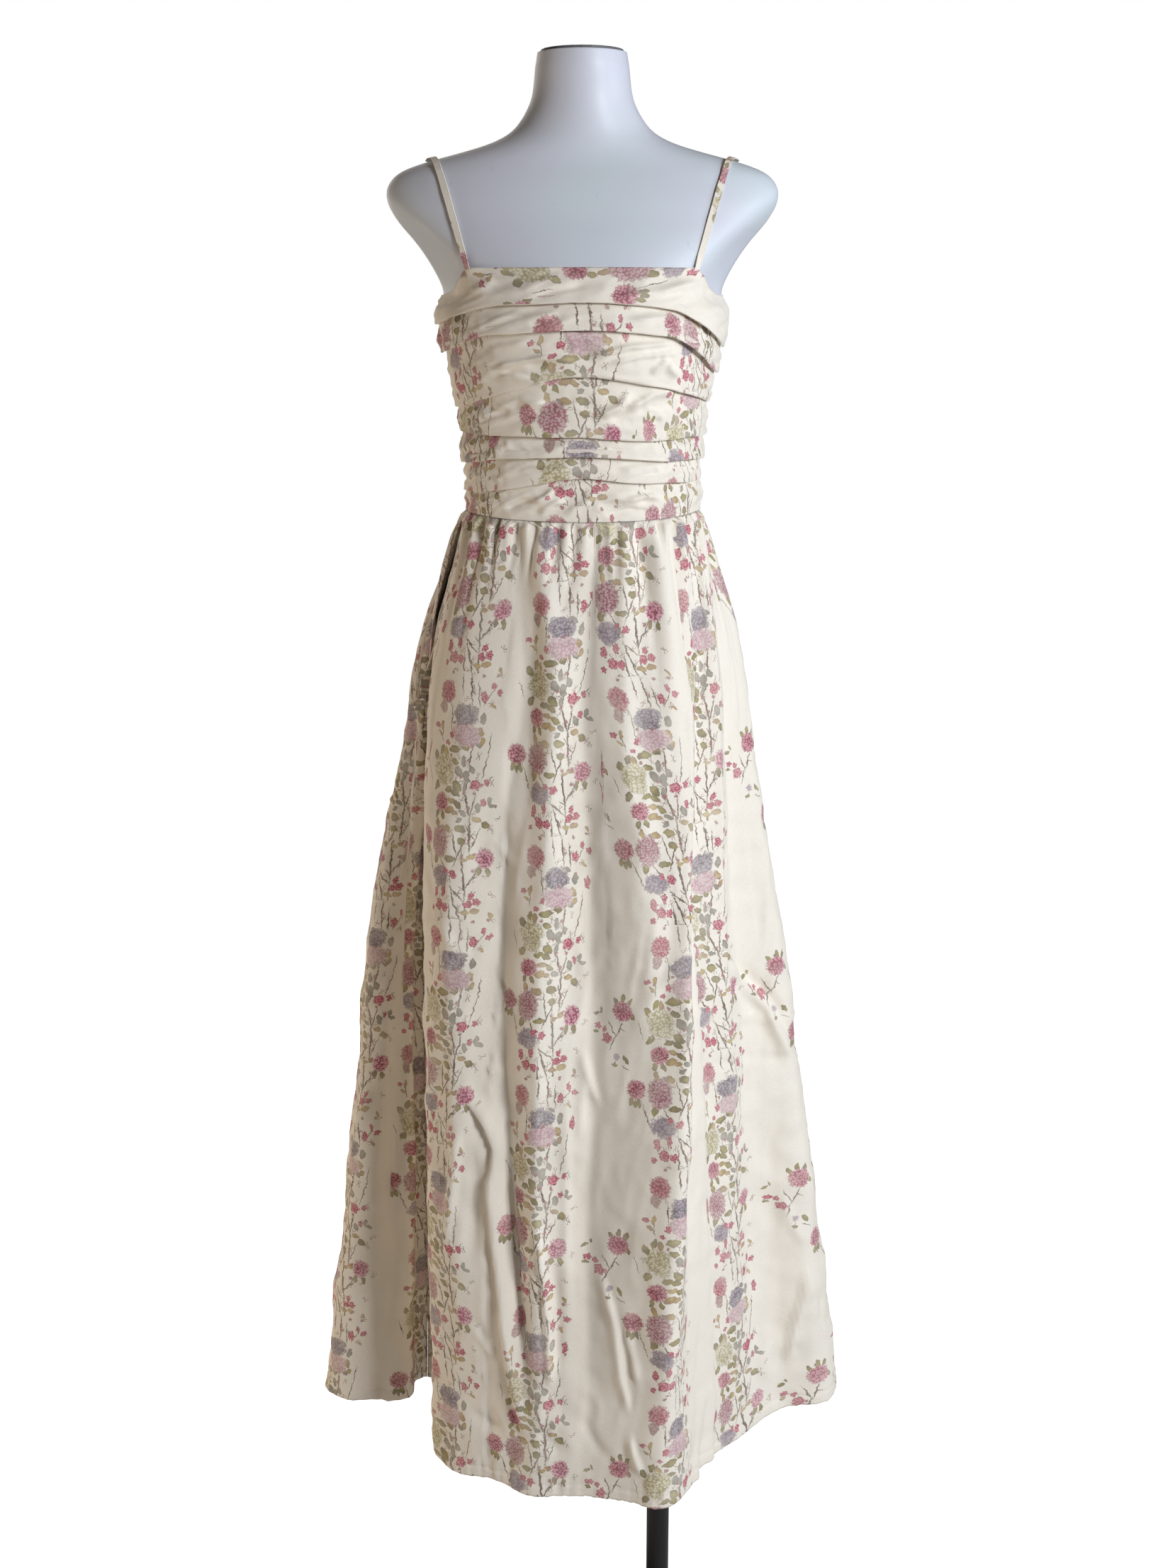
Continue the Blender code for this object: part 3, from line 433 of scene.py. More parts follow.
# Shorter creases where the cloth was folded or sat on, in the same columns.
SKIRT_CREASES = (
    ("left_tent_line", ((0.803, 0.236), (0.782, 0.231), (0.695, 0.216), (0.626, 0.202)), 0.0065, 0.0042,
     0.5, 0.25),
    ("left_tent_fold", ((0.83, 0.225), (0.79, 0.256), (0.763, 0.263), (0.721, 0.257), (0.668, 0.26),
     (0.565, 0.27), (0.496, 0.282), (0.43, 0.297)), 0.0075, 0.0062, -0.65, 0.1),
    ("left_tent_dip", ((0.77, 0.247), (0.7, 0.238), (0.62, 0.232)), 0.01, -0.0034, 0.0, 0.3),
    ("left_tent_shadow", ((0.775, 0.277), (0.7, 0.274), (0.6, 0.284), (0.52, 0.296)), 0.009, -0.004,
     0.2, 0.3),
    ("narrow_pleat", ((0.7, 0.309), (0.623, 0.317), (0.575, 0.32), (0.496, 0.321)), 0.0048, 0.0048,
     -0.7, 0.14),
    ("narrow_pleat_dip", ((0.66, 0.327), (0.58, 0.33), (0.5, 0.33)), 0.007, -0.0032, 0.0, 0.3),
    ("centre_y_crease", ((0.884, 0.357), (0.837, 0.371), (0.81, 0.38)), 0.0055, 0.003, 0.6, 0.3),
    ("centre_y_branch", ((0.86, 0.364), (0.82, 0.36), (0.77, 0.358)), 0.0055, 0.002, 0.3, 0.35),
    ("low_crease_a", ((0.64, 0.372), (0.578, 0.39), (0.517, 0.399), (0.47, 0.411)), 0.006, 0.004, 0.6,
     0.2),
    ("low_crease_b", ((0.59, 0.402), (0.56, 0.404), (0.505, 0.42)), 0.0055, 0.0028, -0.4, 0.3),
    ("low_crease_c", ((0.456, 0.405), (0.43, 0.413), (0.404, 0.428)), 0.006, 0.0036, 0.5, 0.3),
    ("low_crease_d", ((0.47, 0.352), (0.43, 0.372), (0.415, 0.396)), 0.0075, -0.0022, 0.0, 0.35),
    ("low_crease_e", ((0.455, 0.3), (0.428, 0.33), (0.43, 0.352)), 0.007, -0.002, 0.3, 0.35),
    ("ridge_branch", ((0.985, 0.452), (0.95, 0.43), (0.925, 0.405)), 0.007, 0.0022, 0.4, 0.4),
    ("right_diagonal", ((0.955, 0.622), (0.918, 0.647), (0.878, 0.694), (0.831, 0.714), (0.8, 0.722)),
     0.006, 0.0048, 0.6, 0.15),
    ("right_diagonal_dip", ((0.94, 0.655), (0.885, 0.707), (0.835, 0.733)), 0.0075, -0.0028, 0.0, 0.3),
    ("press_across_1", ((0.884, 0.56), (0.878, 0.61), (0.863, 0.7), (0.852, 0.776)), 0.0032, 0.0016,
     0.4, 0.2),
    ("press_across_2", ((0.842, 0.54), (0.836, 0.606), (0.817, 0.681), (0.81, 0.752)), 0.003, -0.0014,
     0.4, 0.2),
    ("right_low_1", ((0.56, 0.724), (0.523, 0.72), (0.481, 0.702), (0.422, 0.685)), 0.0065, 0.0036,
     -0.5, 0.2),
    ("right_low_2", ((0.66, 0.7), (0.61, 0.712), (0.575, 0.735)), 0.007, 0.0024, 0.4, 0.3),
    ("right_low_3", ((0.5, 0.665), (0.45, 0.65), (0.41, 0.655)), 0.008, 0.0026, 0.3, 0.3),
    ("right_low_4", ((0.52, 0.752), (0.47, 0.742), (0.43, 0.748)), 0.007, -0.0024, 0.3, 0.3),
    ("left_upper_1", ((1.02, 0.21), (0.985, 0.232), (0.975, 0.262)), 0.006, 0.002, 0.5, 0.35),
    ("left_upper_2", ((0.955, 0.262), (0.93, 0.288), (0.935, 0.312)), 0.0055, -0.0016, 0.3, 0.35),
    ("left_upper_3", ((1.105, 0.262), (1.08, 0.285), (1.078, 0.3)), 0.0055, 0.0016, 0.3, 0.35),
    ("low_left_1", ((0.56, 0.226), (0.535, 0.246), (0.52, 0.262)), 0.005, 0.0022, 0.4, 0.35),
    ("low_left_2", ((0.455, 0.216), (0.44, 0.245), (0.446, 0.276)), 0.008, -0.0024, 0.2, 0.35),
    ("lobe_crease_1", ((0.78, 1.655), (0.74, 1.64), (0.7, 1.636)), 0.0065, 0.0024, 0.4, 0.35),
    ("lobe_crease_2", ((0.52, 1.64), (0.48, 1.655), (0.44, 1.66)), 0.007, 0.0026, -0.4, 0.35),
    # the hidden back
    ("back_crease_1", ((0.93, 1.13), (0.88, 1.155), (0.84, 1.162)), 0.006, 0.003, 0.5, 0.3),
    ("back_crease_2", ((0.7, 1.01), (0.64, 1.035), (0.56, 1.04)), 0.0065, 0.0036, -0.5, 0.25),
    ("back_crease_3", ((0.76, 1.3), (0.7, 1.285), (0.61, 1.29)), 0.006, 0.0034, 0.5, 0.3),
    ("back_crease_4", ((0.56, 1.18), (0.5, 1.2), (0.44, 1.204)), 0.007, 0.0036, 0.4, 0.3),
    ("back_crease_5", ((1.02, 1.43), (0.96, 1.45), (0.92, 1.476)), 0.006, 0.0028, 0.5, 0.3),
    ("back_crease_6", ((0.62, 1.43), (0.56, 1.445), (0.48, 1.44)), 0.007, 0.0034, -0.5, 0.3),
    ("back_crease_7", ((0.86, 0.88), (0.8, 0.9), (0.74, 0.896)), 0.006, 0.0028, 0.4, 0.3),
    ("back_press_across", ((0.872, 0.93), (0.866, 1.05), (0.868, 1.18), (0.86, 1.3)), 0.0032, 0.0014,
     0.4, 0.2),
)

# Gathers under the waist seam: rows of small puffs with creases between, dying out at different depths.
GATHER_LAYERS = (
    # name, pitch, height, start, reach, unevenness, seed
    ("fine", 0.0105, 0.0078, 0.004, 0.036, 1.3, 81),
    ("middle", 0.0190, 0.0150, 0.008, 0.076, 1.6, 82),
    ("long", 0.0330, 0.0220, 0.035, 0.140, 1.8, 83),
)


def gather_field(round_waist, below):
    """How far the gathers stand out, from the distance round the waist and the depth below the seam."""
    total = np.zeros(below.shape)
    for _, pitch, height, start, reach, unevenness, seed in GATHER_LAYERS:
        wander = value_noise(round_waist / (3.1 * pitch), below / (8 * pitch), seed)
        phase = math.pi * round_waist / pitch + unevenness * wander
        own = 0.62 + 0.38 * value_noise(round_waist / (1.7 * pitch), below * 0, seed + 9)
        depth = reach * (0.75 + 0.55 * value_noise(round_waist / (2.3 * pitch), below * 0, seed + 17))
        shape = np.abs(np.sin(phase)) ** 0.70 - 0.50
        total += height * own * smooth(below / start) * np.exp(-(below / depth) ** 1.3) * shape
    return total + 0.0006 * smooth(below / 0.01) * np.exp(-below / 0.03)


# Wrinkles all over the skirt: depth, how fast they change across, slantwise and down, size, seed.
SKIRT_WRINKLES = (
    (0.0016, 1.0, 0.0, 1.00, 0.034, 21),
    (0.0030, 1.0, 0.0, 0.70, 0.080, 27),
    (0.0016, 1.6, 0.3, 0.32, 0.042, 24),
)
WAIST_ROUND = 0.668        # girth of the waist seam
SEAM_EASE = 0.022          # the wrinkles fade out over this distance from a side seam
MOST_WALKED = 1.7          # how much cloth a fold takes up at most, per length without it


def skirt_grid(length):
    """The fine skirt's points (rows, columns, 3) and its flat coordinates (rows, columns, 2)."""
    middle_rows = SKIRT_ROWS - GATHER_ROWS - HEM_ROWS
    shares = np.concatenate([np.linspace(0, GATHER_SHARE, GATHER_ROWS, endpoint=False),
                             np.linspace(GATHER_SHARE, 1 - HEM_SHARE, middle_rows, endpoint=False),
                             np.linspace(1 - HEM_SHARE, 1, HEM_ROWS)])
    base = np.array([skirt_base(length, share) for share in shares])
    ahead = np.array([skirt_base(length + 0.002, share) for share in shares])
    earlier = length - 0.002 + hem_lengths()[-1] * (length < 0.002)
    behind = np.array([skirt_base(earlier, share) for share in shares])
    along = ahead - behind         # over 4 mm of the hem
    astray = np.linalg.norm(along, axis=-1, keepdims=True) > 0.02
    along = np.where(astray, np.roll(along, 1, axis=1), along)
    out = np.stack([along[..., 1], -along[..., 0]], axis=-1)
    out /= np.linalg.norm(out, axis=-1, keepdims=True)
    stretch = np.hypot(along[..., 0], along[..., 1]) / 0.004
    lengths = np.broadcast_to(length, stretch.shape)
    degrees = waist_degrees(length)
    height = base[..., 2]
    below = waist_seam(np.radians(degrees)) - height
    round_waist = np.radians(degrees) / (2 * math.pi) * WAIST_ROUND
    push = gather_field(np.broadcast_to(round_waist, height.shape), below)
    if lengths[0, 0] < 0.5:
        push += front_relief(lengths, height)
    for _, at, width, depth, lean, fade in SKIRT_LONG_FOLDS:
        zs, places = zip(*reversed(at))
        middle = monotone(zs, places, height)
        signed = (lengths - middle) * stretch
        way = (zs[-1] - height) / (zs[-1] - zs[0])
        inside = (way > 0) & (way < 1)
        fold = crease_depth(signed, np.clip(way, 0, 1), width, RELIEF * depth, lean, fade)
        push += np.where(inside, fold, 0.0)
    for _, at, width, depth, lean, fade in SKIRT_CREASES:
        middle = np.mean([place for _, place in at])
        line = [(CREASE_CROSSING * (place - middle), z) for z, place in at]
        signed, way = near_line((lengths - middle) * stretch, height, line)
        push += crease_depth(signed, way, CREASE_WIDTH * width, CREASE_RELIEF * depth, lean, fade)
    plain_steps = np.linalg.norm(np.diff(base[..., :2], axis=1), axis=-1)
    steps = np.linalg.norm(np.diff(base[..., :2] + out * push[..., None], axis=1), axis=-1)
    flat_u = cloth_across(lengths, height, stretch, np.minimum(steps, MOST_WALKED * plain_steps))
    flat_v = PRINT_DATUM - height - (0.0 if lengths[0, 0] < 0.5 else REAR_PRINT_DROP)
    share = np.broadcast_to(shares[:, None], height.shape)
    loose = smooth((share - 0.05) / 0.3)
    sewn = smooth(np.minimum(lengths - lengths[:, :1], lengths[:, -1:] - lengths) / SEAM_EASE)
    rough = loose * 0.0026 * value_noise(flat_u / 0.055, flat_v / 0.16, 5)
    for depth, run, slant, fall, size, seed in SKIRT_WRINKLES:
        wrinkle = crumple(flat_u * run + flat_v * slant, flat_v * fall, size, seed)
        rough += (0.3 + 0.7 * loose) * depth * wrinkle
    push += sewn * rough
    above_hem = height - HEM_Z
    pucker = (np.sin(lengths / 0.0125 * 2 * math.pi + 2.2 * np.sin(lengths * 23))
              + 0.7 * np.sin(lengths / 0.0071 * 2 * math.pi + 1.7 * np.sin(lengths * 31)))
    uneven = 0.55 + 0.45 * value_noise(lengths / 0.045, lengths * 0, 8)
    push += 0.00075 * uneven * pucker * np.exp(-(np.maximum(above_hem - HEM_DEPTH, 0) / 0.012) ** 2)
    push += 0.0007 * smooth((HEM_DEPTH - above_hem) / 0.0015)
    push -= 0.0006 * np.exp(-((above_hem - HEM_DEPTH) / 0.0014) ** 2)
    points = base.copy()
    points[..., :2] += out * push[..., None]
    wavy = 0.0016 * value_noise(lengths / 0.05, lengths * 0 + 3, 9) + 0.0006 * pucker
    points[..., 2] += wavy * np.exp(-above_hem / 0.02)
    return points, np.stack([flat_u, flat_v], axis=-1)


# Lines down the skirt along which the cloth's own coordinate across stays the same, as (height,
# distance along the hem) pairs: the print's columns run down them.
PRINT_DATUM = 1.63                     # height where the print's downward coordinate is 0
REAR_PRINT_DROP = 0.022                # how much lower the print lies on the rear panel
PRINT_LINES = (
    # name, cloth_coordinate, share of the cloth up to the next line that stays beside this one, at
    ("recess", -0.155, 0.5, ((1.43, 0.165), (1.3, 0.13), (1.2, 0.08), (1.08, 0.014), (0.9, -0.01),
     (0.372, -0.013))),
    ("first", 0.0, 0.4, ((1.43, 0.237), (1.22, 0.237), (0.97, 0.23), (0.71, 0.202), (0.372, 0.197))),
    ("second", 0.155, 0.43, ((1.43, 0.338), (1.069, 0.339), (0.818, 0.32), (0.552, 0.306),
     (0.372, 0.304))),
    ("third", 0.31, 0.66, ((1.43, 0.403), (1.307, 0.4), (1.223, 0.414), (1.1, 0.43), (0.973, 0.445),
     (0.719, 0.448), (0.372, 0.461))),
    ("fourth", 0.465, 0.5, ((1.43, 0.483), (1.32, 0.47), (1.2, 0.482), (1.085, 0.501), (0.823, 0.572),
     (0.565, 0.592), (0.372, 0.6))),
    ("right_side", 0.62, 0.5, ((1.43, 0.76), (1.3, 0.86), (1.155, 0.9), (1.0, 0.878), (0.87, 0.855),
     (0.63, 0.83), (0.372, 0.83))),
    ("left_lobe", 1.55, 0.5, ((1.43, 1.48), (1.3, 1.58), (1.15, 1.645), (0.95, 1.64), (0.67, 1.622),
     (0.372, 1.624))),
    ("recess_again", 1.705, 0.5, ((1.43, 1.742), (1.15, 1.754), (0.9, 1.759), (0.372, 1.756))),
)


CLOTH_SKIP = 0.0020        # the cloth hidden in a fold is skipped within this distance


def walked_at(places, lengths, walked, stretch):
    """Distance walked along each row to the point where a line crosses it."""
    at = np.empty(len(lengths))
    for r, (place, length, walk) in enumerate(zip(places, lengths, walked)):
        past = length - place
        at[r] = np.interp(0.0, past, walk)
        if past[0] > 0:
            at[r] = -past[0] * stretch[r, 0]
        if past[-1] < 0:
            at[r] = walk[-1] - past[-1] * stretch[r, -1]
    return at[:, None]


def cloth_across(lengths, height, stretch, steps):
    """Flat coordinate across the skirt's cloth: true to size beside the print's lines, with the rest
    of the cloth hidden in a fold between them."""
    walked = np.concatenate([np.zeros((len(lengths), 1)), np.cumsum(steps, axis=1)], axis=1)
    lines = []
    for _, _, _, at in PRINT_LINES:
        zs, along = zip(*reversed(at))
        lines.append(walked_at(monotone(zs, along, height), lengths, walked, stretch))
    across = PRINT_LINES[0][1] + np.minimum(walked - lines[0], 0) + np.maximum(walked - lines[-1], 0)
    for k in range(len(PRINT_LINES) - 1):
        cloth = PRINT_LINES[k + 1][1] - PRINT_LINES[k][1]
        gap = np.maximum(lines[k + 1] - lines[k], 3 * CLOTH_SKIP)
        local = np.clip(walked - lines[k], 0, gap)
        if cloth > 2 * COLUMN_PITCH:
            across += local / gap * cloth
            continue
        skipped = np.maximum(cloth - gap, 0)
        left = PRINT_LINES[k][2] * gap
        right = gap - left - CLOTH_SKIP
        hidden = np.minimum(local, left)
        hidden = hidden + np.clip(local - left, 0, CLOTH_SKIP) * (skipped / CLOTH_SKIP + 1)
        hidden = hidden + np.clip(local - left - CLOTH_SKIP, 0, right)
        across += np.where(gap < cloth, hidden, local / gap * cloth)
    return across


def column_lengths(start, end, columns):
    """Distances along the hem for a panel's columns, spaced by both the waist and the hem."""
    fine = np.linspace(start, end, 40 * columns)
    crowding = (fine / hem_lengths()[-1] * 1.2 + waist_degrees(fine) / 360 * 0.8)
    return np.interp(np.linspace(crowding[0], crowding[-1], columns), crowding, fine)


# ---------------------------------------------------------------- making meshes
def mesh_object(name, points, faces, flat=None):
    """Mesh object from points and faces, with flat cloth coordinates as a UV map when given."""
    data = bpy.data.meshes.new(name)
    data.from_pydata(points.reshape(-1, 3).tolist(), [], faces)
    data.shade_smooth()
    if flat is not None:
        layer = data.uv_layers.new(name="Cloth")
        corner = np.empty(len(data.loops), np.int32)
        data.loops.foreach_get("vertex_index", corner)
        layer.data.foreach_set("uv", flat.reshape(-1, 2)[corner].astype(np.float32).ravel())
    obj = bpy.data.objects.new(name, data)
    bpy.context.scene.collection.objects.link(obj)
    return obj


def grid_faces(rows, columns, closed=False):
    """Faces of a grid whose rows go down, so that they point out."""
    faces = []
    for r in range(rows - 1):
        for c in range(columns if closed else columns - 1):
            after = (c + 1) % columns
            here, below = r * columns, (r + 1) * columns
            faces.append((here + c, below + c, below + after, here + after))
    return faces


def end_caps(rows, columns):
    """The two flat faces that close a tube of rows."""
    return [tuple(range(columns)), tuple(reversed(range((rows - 1) * columns, rows * columns)))]


def bake_map(obj, rows, columns):
    """A second UV map, 0 to 1 over the grid, for baking."""
    data = obj.data
    layer = data.uv_layers.new(name="OFBake")
    corner = np.empty(len(data.loops), np.int32)
    data.loops.foreach_get("vertex_index", corner)
    across = (corner % columns) / (columns - 1)
    down = 1 - (corner // columns) / (rows - 1)
    both = np.stack([0.01 + 0.98 * across, 0.01 + 0.98 * down], axis=-1)
    layer.data.foreach_set("uv", both.astype(np.float32).ravel())


def cloth_sheet(name, points, flat, thickness=CLOTH):
    """A thin cloth shell over a grid of points, its wall growing inwards."""
    rows, columns = points.shape[:2]
    obj = mesh_object(name, points, grid_faces(rows, columns), flat)
    bake_map(obj, rows, columns)
    obj.data.materials.append(bpy.data.materials["print_cloth_face"])
    obj.data.materials.append(bpy.data.materials["print_cloth_reverse"])
    wall = obj.modifiers.new("wall", "SOLIDIFY")
    wall.thickness = thickness
    wall.offset = -1.0
    wall.material_offset = 1
    wall.material_offset_rim = 0
    return obj


# ---------------------------------------------------------------- the bodice
def top_edge(turn):
    """Height of the bodice's top edge: level at the front, lower under the arms, level at the back."""
    strap = STRAP_FRONT_X / section(TOP_EDGE_Z)["half_width"]
    front = monotone((strap, 1.0), (TOP_EDGE_Z, UNDERARM_Z), np.abs(np.cos(turn)))
    back = UNDERARM_Z + (BACK_EDGE_Z - UNDERARM_Z) * np.sin(turn) ** 2
    return np.where(np.sin(turn) <= 0, front, back)


# Flat coordinate down the print at each strip's lower edge, so that the motifs come where they show.
STRIP_PRINT = (0.094, -0.009, 0.063, 0.163, 0.273, 0.332, 0.497)
BODICE_ACROSS = (
    # distance round from the centre front, distance across the cloth, gathered between the columns
    (-0.220, -0.256), (-0.119, -0.155), (-0.084, -0.111), (-0.064, -0.064), (0.0, 0.0), (0.045, 0.045),
    (0.066, 0.090), (0.085, 0.114), (0.119, 0.155), (0.220, 0.256),
)
BODICE_PRINT_ROW = 0.040               # the print's offset for the bodice's middle column
BAND_PRINT_ACROSS = 1.696              # the band's print runs sideways: height of its column's middle
BAND_PRINT_DOWN = 0.202                # and how far along it the band's centre lies
STRIP_ROWS = (22, 18, 26, 32, 14, 16, 28)

BODICE_WIDTH = 0.9         # how much narrower the bodice's creases are than their rows say
BODICE_RELIEF = 2.8        # how much deeper
# Creases of the bodice front: (x, z) pairs in metres, then width, depth, lean and fade.
BODICE_CREASES = (
    ("band_1", ((-0.052, 1.652), (-0.03, 1.66), (-0.01, 1.668)), 0.004, 0.0012, 0.4, 0.3),
    ("band_2", ((-0.1, 1.648), (-0.08, 1.655), (-0.07, 1.664)), 0.0045, 0.001, -0.3, 0.3),
    ("band_3", ((0.055, 1.644), (0.085, 1.656), (0.11, 1.66)), 0.0045, 0.0012, 0.4, 0.3),
    ("band_4", ((0.02, 1.642), (0.05, 1.648), (0.07, 1.646)), 0.003, 0.001, 0.4, 0.3),
    ("band_5", ((-0.045, 1.645), (-0.02, 1.65), (0.005, 1.655)), 0.003, -0.001, 0.2, 0.3),
    ("second_1", ((-0.085, 1.622), (-0.05, 1.628), (-0.02, 1.626)), 0.003, 0.001, 0.4, 0.3),
    ("second_2", ((0.03, 1.62), (0.07, 1.626), (0.1, 1.618)), 0.003, 0.0011, -0.4, 0.3),
    ("drape_fan_1", ((-0.082, 1.577), (-0.06, 1.582), (-0.034, 1.588), (-0.004, 1.586)), 0.0034, 0.003,
     0.5, 0.2),
    ("drape_fan_2", ((-0.078, 1.572), (-0.055, 1.58), (-0.03, 1.584)), 0.003, -0.0016, 0.0, 0.3),
    ("drape_fan_3", ((-0.082, 1.568), (-0.062, 1.57), (-0.044, 1.566), (-0.028, 1.558)), 0.0034, 0.0026,
     0.5, 0.25),
    ("drape_fan_4", ((-0.09, 1.594), (-0.06, 1.6), (-0.04, 1.606)), 0.004, 0.0014, 0.4, 0.3),
    ("drape_fan_5", ((0.004, 1.586), (0.02, 1.592), (0.04, 1.598), (0.086, 1.602)), 0.0032, 0.0026, 0.5,
     0.2),
    ("drape_fan_6", ((0.02, 1.58), (0.05, 1.588), (0.07, 1.59), (0.092, 1.591)), 0.0032, 0.0018, -0.5,
     0.25),
    ("drape_fan_7", ((0.06, 1.572), (0.072, 1.58), (0.078, 1.59)), 0.0034, 0.002, 0.5, 0.3),
    ("drape_fan_8", ((0.092, 1.567), (0.082, 1.576), (0.08, 1.586)), 0.0034, 0.0022, -0.5, 0.3),
    ("drape_fan_9", ((0.012, 1.572), (0.04, 1.566), (0.07, 1.566)), 0.0036, 0.0016, 0.4, 0.3),
    ("crisp_tent_1", ((0.012, 1.531), (0.033, 1.54), (0.046, 1.556)), 0.004, 0.003, 0.5, 0.25),
    ("crisp_tent_2", ((0.038, 1.536), (0.068, 1.552), (0.098, 1.556)), 0.0038, 0.0026, 0.4, 0.25),
    ("crisp_tent_3", ((0.056, 1.561), (0.08, 1.556), (0.1, 1.548)), 0.0036, 0.0018, 0.4, 0.3),
    ("crisp_tent_4", ((-0.064, 1.548), (-0.045, 1.545), (-0.03, 1.543)), 0.0044, 0.0014, 0.4, 0.3),
    ("crisp_tent_5", ((-0.104, 1.54), (-0.085, 1.534), (-0.07, 1.536)), 0.005, -0.0014, 0.0, 0.3),
    ("crisp_tent_6", ((0.03, 1.52), (0.06, 1.526), (0.092, 1.522)), 0.005, -0.0012, 0.2, 0.3),
    ("low_1", ((-0.052, 1.446), (-0.038, 1.452), (-0.028, 1.462)), 0.0034, 0.0022, 0.5, 0.3),
    ("low_2", ((-0.048, 1.432), (-0.03, 1.444), (-0.016, 1.448)), 0.0034, 0.0024, -0.4, 0.3),
    ("low_3", ((-0.02, 1.434), (0.004, 1.446), (0.014, 1.458)), 0.0034, 0.0016, 0.4, 0.3),
    ("low_4", ((0.04, 1.446), (0.066, 1.452), (0.096, 1.446)), 0.004, 0.0016, 0.4, 0.3),
    ("low_5", ((-0.088, 1.436), (-0.066, 1.446), (-0.05, 1.448)), 0.0034, -0.0016, 0.4, 0.3),
    ("low_6", ((0.02, 1.432), (0.05, 1.438), (0.086, 1.434)), 0.0034, -0.0014, 0.4, 0.3),
    ("fifth_1", ((0.034, 1.478), (0.06, 1.481), (0.09, 1.482)), 0.0024, 0.0014, 0.4, 0.3),
    ("fifth_2", ((-0.07, 1.474), (-0.05, 1.48), (-0.03, 1.479)), 0.0026, 0.0012, 0.4, 0.3),
)


def bodice_arc(turn):
    """Distance round the bodice from the centre front, in metres, for an increasing turn."""
    fine = np.linspace(math.pi, 2 * math.pi, 721)
    ring = form_ring(1.53, fine, 0.004)
    arc = np.concatenate([[0.0], np.cumsum(np.linalg.norm(np.diff(ring, axis=0), axis=1))])
    return np.interp(turn, fine, arc - arc[360])


